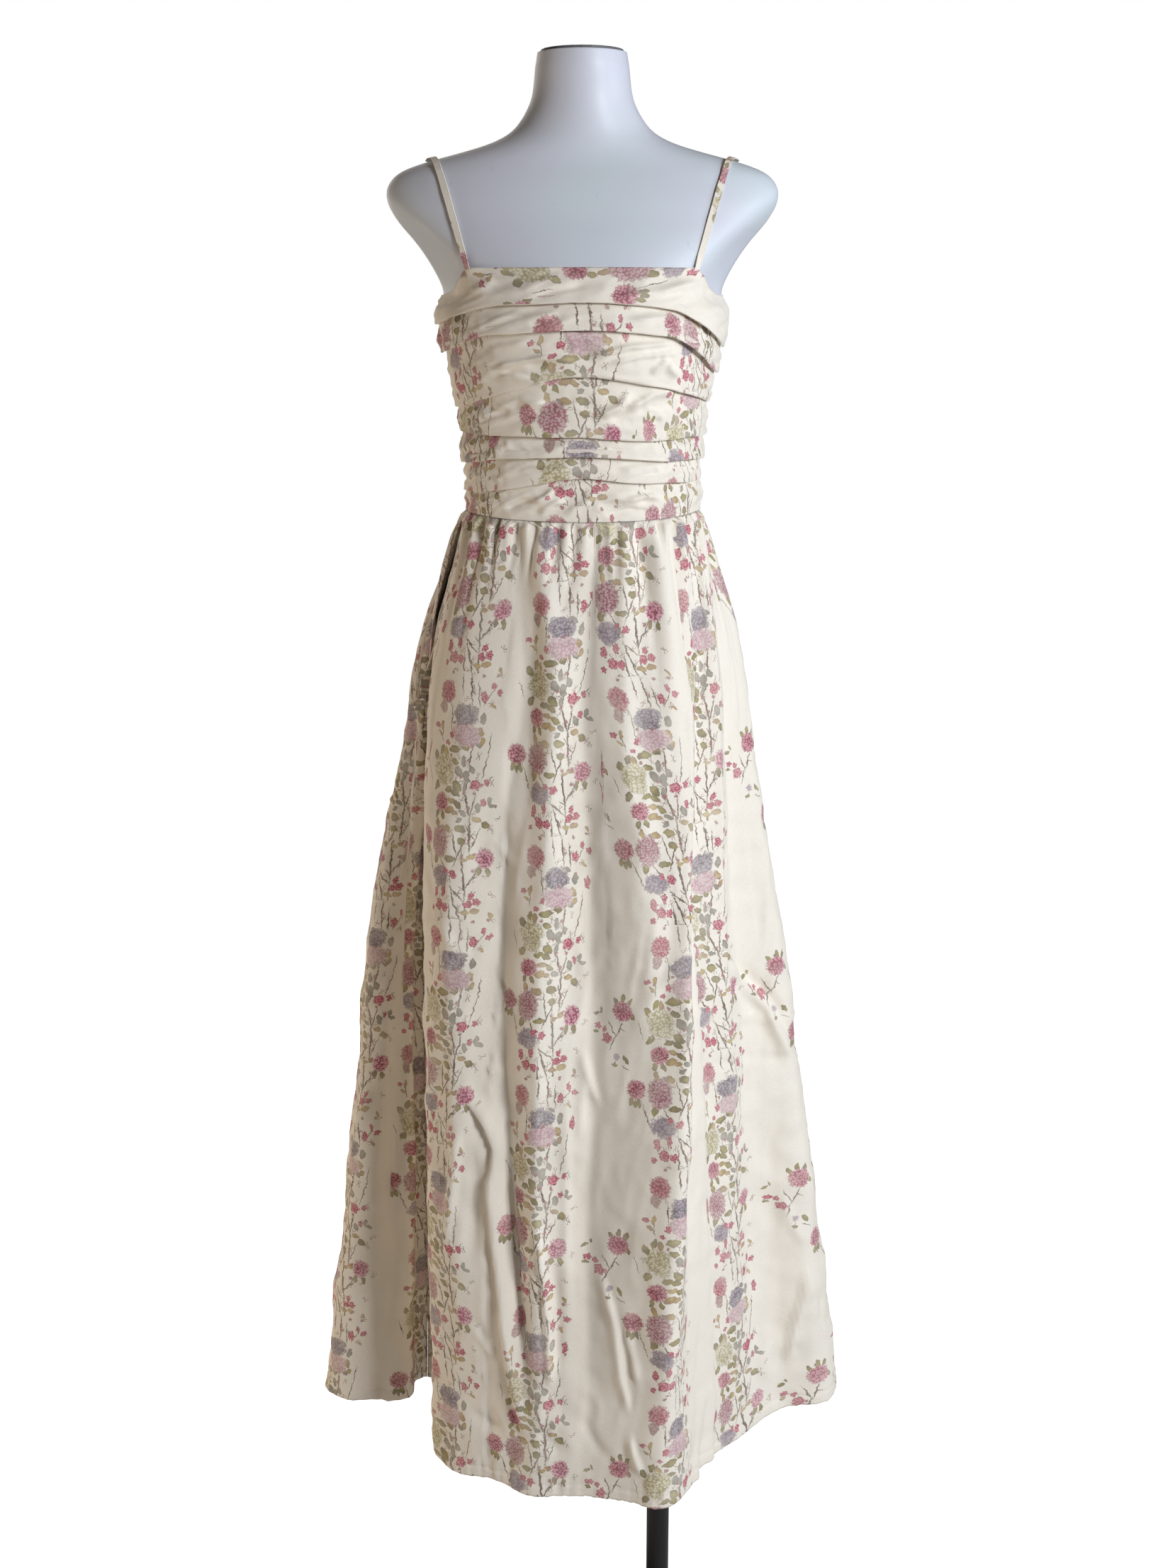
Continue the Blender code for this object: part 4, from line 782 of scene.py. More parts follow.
def bodice_front_grid():
    """Points and flat coordinates of the pleated front, from the top edge down through every tuck."""
    inset = SEAM_GAP / (2 * float(section(UNDERARM_Z)["half_width"]))
    turn = np.linspace(math.pi + inset, 2 * math.pi - inset, BODICE_COLUMNS)
    across = np.cos(turn)
    arc = bodice_arc(turn)
    edges = [monotone(PLEAT_STATIONS, row[1:], across) for row in PLEAT_EDGES]
    level = np.zeros(arc.shape)
    for k in range(len(edges)):
        edges[k] = edges[k] + (0.0008 * value_noise(arc / 0.030, level, 40 + k)
                               + 0.0004 * value_noise(arc / 0.012, level, 50 + k))
    heights = [top_edge(turn), *edges, waist_seam(turn) + SEAM_GAP]
    side = smooth((np.abs(across) - 0.80) / 0.18)
    rows_z, rows_out, rows_v, rows_open, rows_u = [], [], [], [], []
    for k, (upper, lower) in enumerate(zip(heights[:-1], heights[1:])):
        last = k == len(heights) - 2
        reach = 0.35 if last else 1.0 + 0.18 * math.sin(2.1 * k)
        out_edge = np.full(len(turn), BODICE_IN + (BODICE_OUT - BODICE_IN) * reach)
        if not last:
            out_edge = out_edge + 0.0009 * value_noise(arc / 0.045, level + k, 70) - 0.0034 * side
        if k:
            for up, out in ((TUCK, BODICE_IN), (TUCK * 0.5, BODICE_IN)):
                rows_z.append(upper + up)
                rows_out.append(np.full(len(turn), out))
                rows_v.append(STRIP_PRINT[k] - (upper + up - lower))
                rows_u.append(arc)
                rows_open.append(np.zeros(len(turn)))
        count = STRIP_ROWS[k]
        for i in range(count):
            share = i / (count - 1)
            z = upper + (lower - upper) * share
            bow = 0.0010 * math.sin(math.pi * share)
            rows_z.append(z)
            rows_out.append(BODICE_IN + (out_edge - BODICE_IN) * share ** 1.2 + bow)
            rows_v.append(STRIP_PRINT[k] - (z - lower))
            rows_u.append(arc)
            open_share = 0.2 + 0.8 * math.sin(math.pi * min(max(share, 0.08), 0.92))
            rows_open.append(np.full(len(turn), open_share))
        if last:
            continue
        for angle in (50, 95, 140, 180):
            swing = math.radians(angle)
            rows_z.append(lower - FOLD_RADIUS * math.sin(swing))
            rows_out.append(out_edge - FOLD_RADIUS * (1 - math.cos(swing)))
            rows_v.append(np.full(len(turn), STRIP_PRINT[k]) + FOLD_RADIUS * swing)
            rows_u.append(arc)
            rows_open.append(np.full(len(turn), 0.2))
        for up in (0.35, 0.8, 1.0):
            rows_z.append(lower + TUCK * up)
            rows_out.append(out_edge - 2 * FOLD_RADIUS - 0.0004 * up)
            rows_v.append(np.full(len(turn), STRIP_PRINT[k]) + TUCK * up)
            rows_u.append(arc)
            rows_open.append(np.zeros(len(turn)))
    z, out = np.array(rows_z), np.array(rows_out)
    flat_u, flat_v, free = np.array(rows_u), np.array(rows_v), np.array(rows_open)
    x = np.broadcast_to(arc, z.shape)
    for _, at, width, depth, lean, fade in BODICE_CREASES:
        signed, way = near_line(x, z, at)
        crease = crease_depth(signed, way, BODICE_WIDTH * width, BODICE_RELIEF * depth, lean, fade)
        out = out + free * crease
    out = out + free * 0.0012 * crumple(x + 0.3 * z, z * 1.9, 0.024, 31)
    lean = np.where(x < 0, 0.42, 0.18)
    out = out + free * 0.0024 * crumple(x * 0.30, (z - lean * x) * 1.15, 0.019, 33)
    tight = np.abs(value_noise(x / 0.075 + 3.0, (z - lean * x) / 0.0135, 35))
    out = out + free * 0.0034 * (0.28 - tight)
    gather = value_noise(z / 0.0045, x * 0, 60) * side * free
    out = np.maximum(out + 0.0010 * gather, 0.0012)
    turns = np.broadcast_to(turn, z.shape)
    xy = form_ring(z, turns, out)
    band = np.zeros(z.shape, bool)
    band[:STRIP_ROWS[0]] = True
    seen, cloth = zip(*BODICE_ACROSS)
    u = np.where(band, z - BAND_PRINT_ACROSS, monotone(seen, cloth, flat_u) + COLUMN_PITCH)
    v = np.where(band, flat_u + BAND_PRINT_DOWN, flat_v) + BODICE_PRINT_ROW
    return np.concatenate([xy, z[..., None]], axis=-1), np.stack([u, v], axis=-1)


BACK_CREASES = (
    ("back_1", ((-0.11, 1.6), (-0.07, 1.592), (-0.03, 1.596)), 0.006, 0.0012, 0.4, 0.3),
    ("back_2", ((0.02, 1.575), (0.07, 1.566), (0.12, 1.57)), 0.006, 0.0013, -0.4, 0.3),
    ("back_3", ((-0.12, 1.53), (-0.07, 1.52), (-0.02, 1.524)), 0.005, 0.0014, 0.4, 0.3),
    ("back_4", ((0.03, 1.505), (0.08, 1.498), (0.13, 1.506)), 0.005, 0.0013, 0.4, 0.3),
    ("back_5", ((-0.1, 1.48), (-0.05, 1.47), (0.0, 1.474)), 0.005, 0.0015, -0.4, 0.3),
    ("back_6", ((0.02, 1.455), (0.07, 1.448), (0.11, 1.452)), 0.0046, 0.0014, 0.4, 0.3),
    ("back_7", ((-0.12, 1.45), (-0.08, 1.444), (-0.05, 1.446)), 0.0046, 0.0012, 0.4, 0.3),
)


def bodice_back_grid():
    """Points and flat coordinates of the plain fitted back."""
    inset = SEAM_GAP / (2 * float(section(UNDERARM_Z)["half_width"]))
    turn = np.linspace(inset, math.pi - inset, BACK_BODICE_COLUMNS)
    ring = form_ring(1.53, turn, 0.003)
    arc = np.concatenate([[0.0], np.cumsum(np.linalg.norm(np.diff(ring, axis=0), axis=1))])
    arc = arc[-1] / 2 - arc
    upper, lower = top_edge(turn), waist_seam(turn) + SEAM_GAP
    share = np.linspace(0, 1, BACK_BODICE_ROWS)[:, None]
    z = upper + (lower - upper) * share
    x = np.broadcast_to(arc, z.shape)
    free = np.sin(math.pi * np.clip(share, 0.03, 0.97)) ** 0.5
    out = np.full(z.shape, 0.0028)
    for _, at, width, depth, lean, fade in BACK_CREASES:
        signed, way = near_line(-x, z, at)
        out = out + free * crease_depth(signed, way, width, depth, lean, fade)
    out = out + free * 0.00035 * crumple(x, z * 1.6, 0.02, 35)
    out = out + free * 0.0004 * value_noise(x / 0.05, z / 0.02, 36)
    out = out + 0.0005 * np.exp(-((upper - z) / 0.004) ** 2)
    out = out - 0.0003 * np.exp(-((upper - z - 0.009) / 0.0012) ** 2)
    xy = form_ring(z, np.broadcast_to(turn, z.shape), np.maximum(out, 0.0012))
    flat = np.stack([COLUMN_PITCH / 2 - x, PRINT_DATUM - z], axis=-1)
    return np.concatenate([xy, z[..., None]], axis=-1), flat


# ---------------------------------------------------------------- the straps
def surface_tree(obj):
    """Search tree over an object's own faces."""
    corners = [v.co for v in obj.data.vertices]
    return BVHTree.FromPolygons(corners, [face.vertices for face in obj.data.polygons])


def strap_end(x, z, front, out):
    """A point of a strap's middle line at the height z over the form."""
    across = abs(x) / float(section(z)["half_width"])
    turn = -math.acos(across) if front else math.acos(across)
    xy = form_ring(z, np.array([turn]), np.array([out]))[0]
    return np.array([math.copysign(xy[0], x), xy[1], z])


def taut_path(tree, start, crest, end, reach, points=37, rounds=300):
    """Line drawn tight over the form from start by the crest to end, held sideways by friction."""
    share = np.linspace(0.0, 1.0, points)[:, None]
    rise, fall = start + (crest - start) * share * 2, crest + (end - crest) * (share * 2 - 1)
    line = np.where(share < 0.5, rise, fall)
    sideways = line[:, 0].copy()
    for _ in range(rounds):
        line[1:-1] += 0.5 * ((line[:-2] + line[2:]) / 2 - line[1:-1])
        line[:, 0] = sideways
        for i in range(1, points - 1):
            near, normal, _, _ = tree.find_nearest(Vector(line[i]))
            gap = (Vector(line[i]) - near).dot(normal)
            if gap < reach:
                line[i] += np.array(normal) * (reach - gap)
    return line


# Half of a strap's cross-section from the middle out: shares of half its width and half its thickness.
STRAP_SECTION = ((0.0, 0.86), (0.55, 0.86), (0.72, 0.80), (0.80, 1.0), (0.92, 0.92), (1.0, 0.45))
STRAP_STATIONS = 150
STRAP_TUCK = 0.008         # how far its ends go down behind the bodice
STRAP_CUTS = (
    # name, part, side, cut
    ("strap_left_cloth", "strap_left", -1, (0.027, 0.277, 14)),
    ("strap_right_cloth", "strap_right", 1, (0.093, 0.039, 19)),
)


def strap(name, side, tree, cut):
    """A narrow flat strap with edge stitching, from behind the front edge over the shoulder to the
    back. Its cut is where it lies in the print: across and down at its front end, and its slant in
    degrees."""
    reach = STRAP_CLEARANCE + STRAP_THICKNESS / 2
    back_turn = math.acos(STRAP_BACK_X / float(section(BACK_EDGE_Z)["half_width"]))
    back_z = float(top_edge(np.array([back_turn]))[0])
    start = strap_end(side * STRAP_FRONT_X, TOP_EDGE_Z + 0.0012, True, reach)
    end = strap_end(side * STRAP_BACK_X, back_z + 0.0012, False, reach)
    crest = np.array([side * STRAP_SHOULDER_X, float(section(SHOULDER_Z)["centre_y"]), STRAP_CREST_Z])
    line = taut_path(tree, start, crest, end, reach)
    hidden = STRAP_THICKNESS / 2 + 0.0003
    front_end = strap_end(side * (STRAP_FRONT_X - 0.0012), TOP_EDGE_Z - STRAP_TUCK, True, hidden)
    back_end = strap_end(side * (STRAP_BACK_X - 0.0008), back_z - STRAP_TUCK, False, hidden)
    line = np.vstack([front_end, line, back_end])
    steps = np.concatenate([[0.0], np.cumsum(np.linalg.norm(np.diff(line, axis=0), axis=1))])
    along = np.linspace(0, steps[-1], STRAP_STATIONS)
    line = np.stack([np.interp(along, steps, line[:, k]) for k in range(3)], axis=-1)
    forward = np.gradient(line, axis=0)
    forward /= np.linalg.norm(forward, axis=1, keepdims=True)
    out = np.array([np.array(tree.find_nearest(Vector(p))[1]) for p in line])
    for _ in range(4):
        out[1:-1] = (out[:-2] + out[1:-1] + out[2:]) / 3
    across = np.cross(forward, out)
    across /= np.linalg.norm(across, axis=1, keepdims=True)
    out = np.cross(across, forward)
    half = [(w * STRAP_WIDTH / 2, h * STRAP_THICKNESS / 2) for w, h in STRAP_SECTION]
    ring = (half + [(w, -h) for w, h in reversed(half)] + [(-w, -h) for w, h in half[1:]]
            + [(-w, h) for w, h in reversed(half[1:])])
    width = 1 + 0.05 * np.sin(along / 0.021) * np.sin(along / 0.0083)
    points = np.array([[line[i] + across[i] * w * width[i] + out[i] * h for w, h in ring]
                       for i in range(len(line))])
    count = len(ring)
    print_u, print_v, slant = cut
    lean_x, lean_y = math.sin(math.radians(slant)), math.cos(math.radians(slant))
    flat = np.array([[(print_u + w * lean_y + a * lean_x, print_v - w * lean_x + a * lean_y)
                      for w, _ in ring] for a in along])
    faces = [tuple(reversed(face)) for face in grid_faces(len(line), count, closed=True)]
    faces += end_caps(len(line), count)
    obj = mesh_object(name, points, faces, flat)
    obj.data.materials.append(bpy.data.materials["print_cloth_face"])
    return obj, float(steps[-1])


# ---------------------------------------------------------------- the form
FORM_ROUND = 144
FORM_ROWS = (
    # from, down to, rows
    (1.878, 1.874, 4), (1.874, 1.60, 110), (1.60, 1.09, 60), (1.09, 1.0802, 5),
)
EASED_ABOVE = 1.62         # above this height the sections are averaged with their neighbours, so that
EASING = (-0.009, -0.0045, 0.0, 0.0045, 0.009)      # no ridge shows where the shoulders' slope changes


def form_body():
    """Smooth fine surface of the form, from the neck down to its flat underside."""
    turn = np.linspace(0, 2 * math.pi, FORM_ROUND, endpoint=False)
    heights = np.concatenate([np.linspace(high, low, rows, endpoint=low == FORM_ROWS[-1][1])
                              for high, low, rows in FORM_ROWS])
    rows = []
    for z in heights:
        near = [min(z + d, heights[0]) if z > EASED_ABOVE else z for d in EASING]
        ring = np.mean([form_ring(n, turn) for n in near], axis=0)
        tucked = 0.004 * max(0.0, (1.0845 - z) / 0.0043) ** 2
        rows.append(np.column_stack([ring * (1 - tucked / 0.12), np.full(len(turn), z)]))
    points = np.array(rows)
    count = FORM_ROUND
    faces = grid_faces(len(heights), count, closed=True)
    faces += end_caps(len(heights), count)
    obj = mesh_object("form_body", points, faces)
    obj.data.polygons.foreach_set("use_smooth", [True] * (len(faces) - 2) + [False, False])
    obj.data.materials.append(bpy.data.materials["form_gloss"])
    return obj


# ---------------------------------------------------------------- node helper
class Graph:
    """Adds nodes to a tree. Inputs may be numbers, colours or other nodes' sockets."""

    def __init__(self, tree):
        self.tree = tree

    def feed(self, socket, value):
        """Link a socket or set its value."""
        if isinstance(value, bpy.types.NodeSocket):
            self.tree.links.new(value, socket)
        elif value is not None:
            socket.default_value = value

    def node(self, kind, *inputs, **settings):
        """A node with its inputs in order and its settings by name."""
        made = self.tree.nodes.new(kind)
        for key, value in settings.items():
            setattr(made, key, value)
        for socket, value in zip(made.inputs, inputs):
            self.feed(socket, value)
        return made

    def math(self, operation, *inputs, clamp=False):
        """A Math node's output."""
        return self.node("ShaderNodeMath", *inputs, operation=operation, use_clamp=clamp).outputs[0]

    def vector(self, operation, *inputs):
        """A Vector Math node's output: a number for lengths and dot products, else a vector."""
        made = self.node("ShaderNodeVectorMath", *inputs, operation=operation)
        return made.outputs["Value" if operation in ("LENGTH", "DOT_PRODUCT", "DISTANCE") else "Vector"]

    def step(self, value, low, high):
        """Smooth rise from 0 at low to 1 at high."""
        return self.node("ShaderNodeMapRange", value, low, high, 0.0, 1.0,
                         interpolation_type="SMOOTHSTEP").outputs[0]

    def mix(self, share, first, second):
        """Colours mixed."""
        made = self.tree.nodes.new("ShaderNodeMix")
        made.data_type = "RGBA"
        self.feed(made.inputs["Factor"], share)
        self.feed(made.inputs[6], first)
        self.feed(made.inputs[7], second)
        return made.outputs[2]

    def choose(self, share, first, second):
        """Vectors mixed."""
        made = self.tree.nodes.new("ShaderNodeMix")
        made.data_type = "VECTOR"
        self.feed(made.inputs["Factor"], share)
        self.feed(made.inputs[4], first)
        self.feed(made.inputs[5], second)
        return made.outputs[1]

    def join(self, x, y, z=0.0):
        """A vector from three numbers."""
        return self.node("ShaderNodeCombineXYZ", x, y, z).outputs[0]

    def split(self, vector):
        """The three numbers of a vector or colour."""
        return self.node("ShaderNodeSeparateXYZ", vector).outputs

    def noise(self, where, scale, detail=2.0, rough=0.5, kind="2D"):
        """A Noise node."""
        made = self.tree.nodes.new("ShaderNodeTexNoise")
        made.noise_dimensions = kind
        self.feed(made.inputs["Vector"], where)
        made.inputs["Scale"].default_value = scale
        made.inputs["Detail"].default_value = detail
        made.inputs["Roughness"].default_value = rough
        return made

    def cells(self, where, scale, feature="F1", random=1.0):
        """A Voronoi node."""
        made = self.tree.nodes.new("ShaderNodeTexVoronoi")
        made.voronoi_dimensions = "2D"
        made.feature = feature
        self.feed(made.inputs["Vector"], where)
        made.inputs["Scale"].default_value = scale
        made.inputs["Randomness"].default_value = random
        return made


def srgb(red, green, blue):
    """Linear colour with alpha from 0-255 screen values."""
    def linear(v):
        v /= 255
        return v / 12.92 if v <= 0.04045 else ((v + 0.055) / 1.055) ** 2.4
    return (linear(red), linear(green), linear(blue), 1.0)


# ---------------------------------------------------------------- the floral print
COLUMN_PITCH = 0.155
REPEAT = 0.257
WINDOW_START = -0.045      # where a column's repeat is cut, between motifs
ROW_SHIFT = 0.094          # how much higher every other column sits
ROW_DATUM = 0.145

# Sizes of the drawing are in millimetres from the middle of the lavender hydrangea: u right, v down.
FLORET_HEADS = (
    # name, u, v, half_width, half_height, light, dark
    ("lilac_hydrangea", 0.0, 0.0, 15.5, 13.0, (182, 172, 182), (100, 86, 100)),
    ("pink_hydrangea", 1.5, 19.5, 17.5, 13.0, (230, 208, 208), (196, 156, 166)),
    ("cream_hydrangea", -25.5, 58.5, 14.5, 16.5, (240, 234, 208), (170, 158, 108)),
    ("violet_haze", -22.0, 168.5, 13.0, 12.0, (190, 178, 186), (134, 118, 132)),
    ("brown_haze", -29.0, -7.0, 5.5, 8.0, (208, 184, 176), (170, 138, 134)),
)
PETAL_HEADS = (
    # name, u, v, half_width, half_height, light, dark
    ("crimson_mum", -26.5, 92.0, 10.2, 10.2, (222, 150, 164), (138, 42, 70)),
    ("dahlia", -25.0, 133.5, 13.5, 17.5, (210, 180, 180), (158, 92, 108)),
    ("right_mum", 27.0, 148.0, 9.8, 11.0, (232, 178, 190), (160, 64, 98)),
    ("mauve_mum", -24.5, -22.5, 11.0, 13.0, (214, 160, 164), (166, 74, 92)),
)
LEFT_HEAD = ("left_mum", -50.5, 131.5, 11.0, 11.5, (222, 164, 172), (148, 58, 84))
LONE_HEAD = ("lone_mum", -66.0, 48.0, 11.5, 11.5, (222, 158, 170), (150, 58, 84))
ROSES = (
    # name, u, v, half_width, half_height
    ("rose", 15.5, 71.0, 6.8, 6.6), ("bud_right", 27.0, 68.0, 3.2, 4.2),
    ("bud_low", 24.0, 88.5, 2.8, 4.6), ("red_1", -28.0, 188.0, 3.8, 6.8),
    ("red_2", -15.0, 183.5, 2.8, 6.2), ("red_3", -20.5, 198.5, 6.4, 6.4),
    ("red_4", -11.5, 199.5, 4.4, 5.0), ("sprig_1", 13.0, 196.0, 5.2, 4.8),
    ("sprig_2", 21.0, 194.0, 4.4, 4.4), ("sprig_3", 15.5, 187.0, 3.4, 4.4),
    ("spray_1", 20.5, -20.5, 4.2, 6.6), ("spray_2", 29.0, -32.0, 2.8, 4.6),
    ("spray_3", 36.0, -25.5, 4.0, 3.8), ("low_1", -14.0, 161.0, 3.4, 3.8),
    ("low_2", -5.0, 164.5, 4.8, 4.8), ("near_1", -16.0, 21.0, 3.4, 4.6),
    ("near_2", -39.0, 14.0, 4.4, 3.0), ("near_3", -22.0, 30.0, 3.4, 3.0),
    ("top_1", -31.0, 205.0, 3.0, 3.6),
)
LONE_ROSES = (
    ("twig_rose", -85.0, 79.0, 6.6, 6.2), ("twig_bud_1", -97.0, 67.5, 4.4, 3.8),
    ("twig_bud_2", -89.0, 70.0, 3.2, 3.4),
)
LILAC_STARS = (("star", -73.0, 98.0, 4.4, 4.4),)
SINGLE_ROSE = ("single_rose", 34.5, 8.0, 3.4, 7.6)

# Leaves by ink: u, v, length, width and turn in degrees: 0 lies across, 90 stands, and a rising turn
# goes clockwise.
OLIVE_LEAVES = (
    (-11.0, 35.5, 17.0, 8.4, -6), (2.0, 31.0, 12.0, 8.4, 60), (-38.0, 46.0, 12.0, 7.6, 60),
    (-10.0, 48.0, 11.5, 6.4, 20), (-36.0, 76.0, 12.0, 6.8, -60), (-7.0, 73.0, 14.0, 9.0, 45),
    (-17.0, 78.0, 11.0, 6.4, -20), (-8.0, 80.5, 12.0, 6.4, 30), (-3.5, 92.5, 12.0, 6.4, 40),
    (0.5, 117.0, 12.5, 8.6, 20), (2.5, 130.0, 10.0, 7.6, 20), (26.0, 113.0, 10.5, 7.6, 40),
    (-9.5, 148.6, 14.0, 6.6, -4), (-30.0, 151.5, 13.0, 7.6, 100), (-31.0, 104.5, 10.0, 5.0, 105),
    (-22.0, 105.0, 10.0, 5.0, 68), (22.0, 161.5, 11.0, 4.8, 98), (30.5, 162.5, 11.5, 5.0, 78),
    (-29.5, 38.5, 12.0, 6.0, 110),
)
SAGE_LEAVES = (
    (1.0, 47.0, 13.0, 5.6, 90), (-5.0, 58.0, 13.0, 9.0, 60), (10.5, 55.0, 10.0, 6.6, 70),
    (3.5, 61.0, 12.0, 7.6, 100), (2.0, 75.0, 14.0, 4.4, 95), (2.5, 100.5, 10.0, 5.4, 30),
    (19.0, 94.5, 12.0, 6.6, 75), (30.0, 87.0, 10.0, 4.8, 100), (20.5, 2.0, 13.0, 6.4, 95),
    (12.0, -8.0, 9.0, 5.0, 40), (16.0, 28.0, 10.0, 5.4, 60), (-1.5, 108.0, 8.0, 5.4, -30),
    (6.5, 221.5, 14.0, 6.4, 100), (-19.0, 118.0, 9.0, 5.0, 40), (33.5, 92.5, 9.0, 4.4, 15),
    (5.0, 66.5, 8.0, 4.6, 10),
)
OCHRE_LEAVES = (
    (-12.0, 88.5, 12.0, 5.4, 10), (-14.0, 98.5, 13.0, 7.4, -20), (18.0, 106.5, 10.0, 6.4, 10),
    (-29.0, 114.0, 12.0, 5.6, 80), (-14.0, 117.5, 11.0, 7.4, 30), (14.0, 146.0, 9.0, 5.2, 15),
    (19.0, 203.5, 11.0, 6.4, -10), (9.0, 205.0, 10.0, 5.0, 10), (15.0, 219.5, 9.5, 6.6, -60),
    (18.5, 16.0, 11.0, 7.4, 70), (21.0, 25.5, 9.0, 5.4, 110), (34.5, 209.0, 8.5, 3.6, 60),
    (-31.0, 13.0, 11.0, 4.4, 100), (-23.5, 40.5, 12.0, 6.0, 80), (-7.0, 100.5, 9.0, 5.4, 10),
    (7.5, 149.0, 8.0, 4.4, 170), (-34.5, 22.0, 8.0, 3.6, 40), (30.5, -12.0, 8.0, 3.2, 50),
)
LEFT_LEAVES = (
    (-55.0, 144.5, 11.0, 5.0, 105), (-47.0, 145.5, 11.5, 5.0, 78), (-51.0, 147.5, 9.0, 4.4, 92),
)
LONE_LEAVES = (
    (-66.0, 34.5, 11.0, 5.0, 90), (-58.5, 37.5, 11.0, 5.0, 115), (-74.0, 38.5, 10.0, 4.6, 62),
    (-100.0, 54.0, 8.0, 4.0, -20), (-95.0, 50.0, 6.0, 2.6, 80), (-63.0, 100.0, 11.0, 4.4, 62),
    (-75.0, 107.0, 7.0, 3.0, 20), (-99.0, 73.0, 7.0, 3.4, 10), (-55.5, 52.0, 9.0, 4.4, 70),
)
# Stems and twigs: u and v of both ends and the width in the middle.
STEMS = (
    (-5.0, -44, -3.5, -22, 0.9), (5.0, -44, 7.5, -12, 1.1), (13.5, -36, 15.5, -10, 0.8),
    (29.5, 18, 27.5, 40, 0.6), (28.5, 36, 21.5, 66, 0.7), (10.5, 28, 7.5, 56, 1.0),
    (9.0, 50, 2.0, 84, 0.8), (2.5, 76, 10.5, 107, 1.2), (15.5, 80, 9.5, 108, 1.0),
    (10.0, 100, 12.0, 145, 1.3), (21.0, 116, 12.5, 140, 0.7), (-8.0, 118, -1.5, 148, 0.9),
    (7.0, 126, -6.0, 158, 1.0), (3.5, 140, 9.5, 192, 1.3), (15.0, 168, 8.5, 180, 0.8),
    (-8.5, 177, 9.0, 193, 0.9), (-7.5, 176, 6.0, 219, 1.0), (-7.0, 190, -5.5, 237, 1.1),
    (-16.0, 206, -6.0, 234, 0.8), (8.5, 190, 11.5, 226, 1.0), (12.5, 220, 16.0, 254, 0.9),
    (7.5, 222, 3.0, 252, 0.9), (-22.5, 148, -9.0, 168, 0.8), (-31.0, 14, -30.0, 29, 0.6),
    (-17.0, -8, -16.0, 18, 0.7), (-49.0, 56, -44.0, 75, 0.5), (23.0, 150, 13.5, 174, 0.6),
    (25.0, 70, 33.0, 60, 0.5), (31.0, -30, 20.0, -12, 0.6), (-20.0, 174, -16.0, 192, 0.6),
    (19.5, 166, 13.0, 172, 0.8), (2.5, 176, 8.0, 182, 0.7), (0.0, 196, 4.0, 206, 0.7),
    (-12.0, 212, -6.5, 222, 0.7), (16.0, 128, 11.5, 122, 0.6), (6.0, 112, 10.5, 120, 0.7),
)
LEFT_STEMS = (
    (-44.0, 142, -35.0, 170, 0.7), (-66.0, 58, -74.0, 78, 0.9), (-82.0, 60, -74.0, 78, 0.8),
    (-74.0, 74, -82.0, 92, 0.9), (-70.0, 66, -64.0, 70, 0.6), (-73.0, 102, -77.0, 110, 0.5),
    (-66.0, 106, -58.0, 112, 0.5),
)

AWAY = 9000.0              # moved this far, a motif is out of reach

INK_OLIVE = srgb(168, 154, 86)
INK_OLIVE_DARK = srgb(116, 104, 66)
INK_SAGE = srgb(176, 170, 158)
INK_SAGE_DARK = srgb(134, 128, 114)
INK_OCHRE = srgb(204, 180, 116)
INK_OCHRE_DARK = srgb(164, 132, 98)
INK_STEM = srgb(92, 74, 62)
INK_ROSE_LIGHT = srgb(226, 142, 158)
INK_ROSE_DARK = srgb(158, 42, 72)
INK_LILAC = srgb(180, 156, 178)


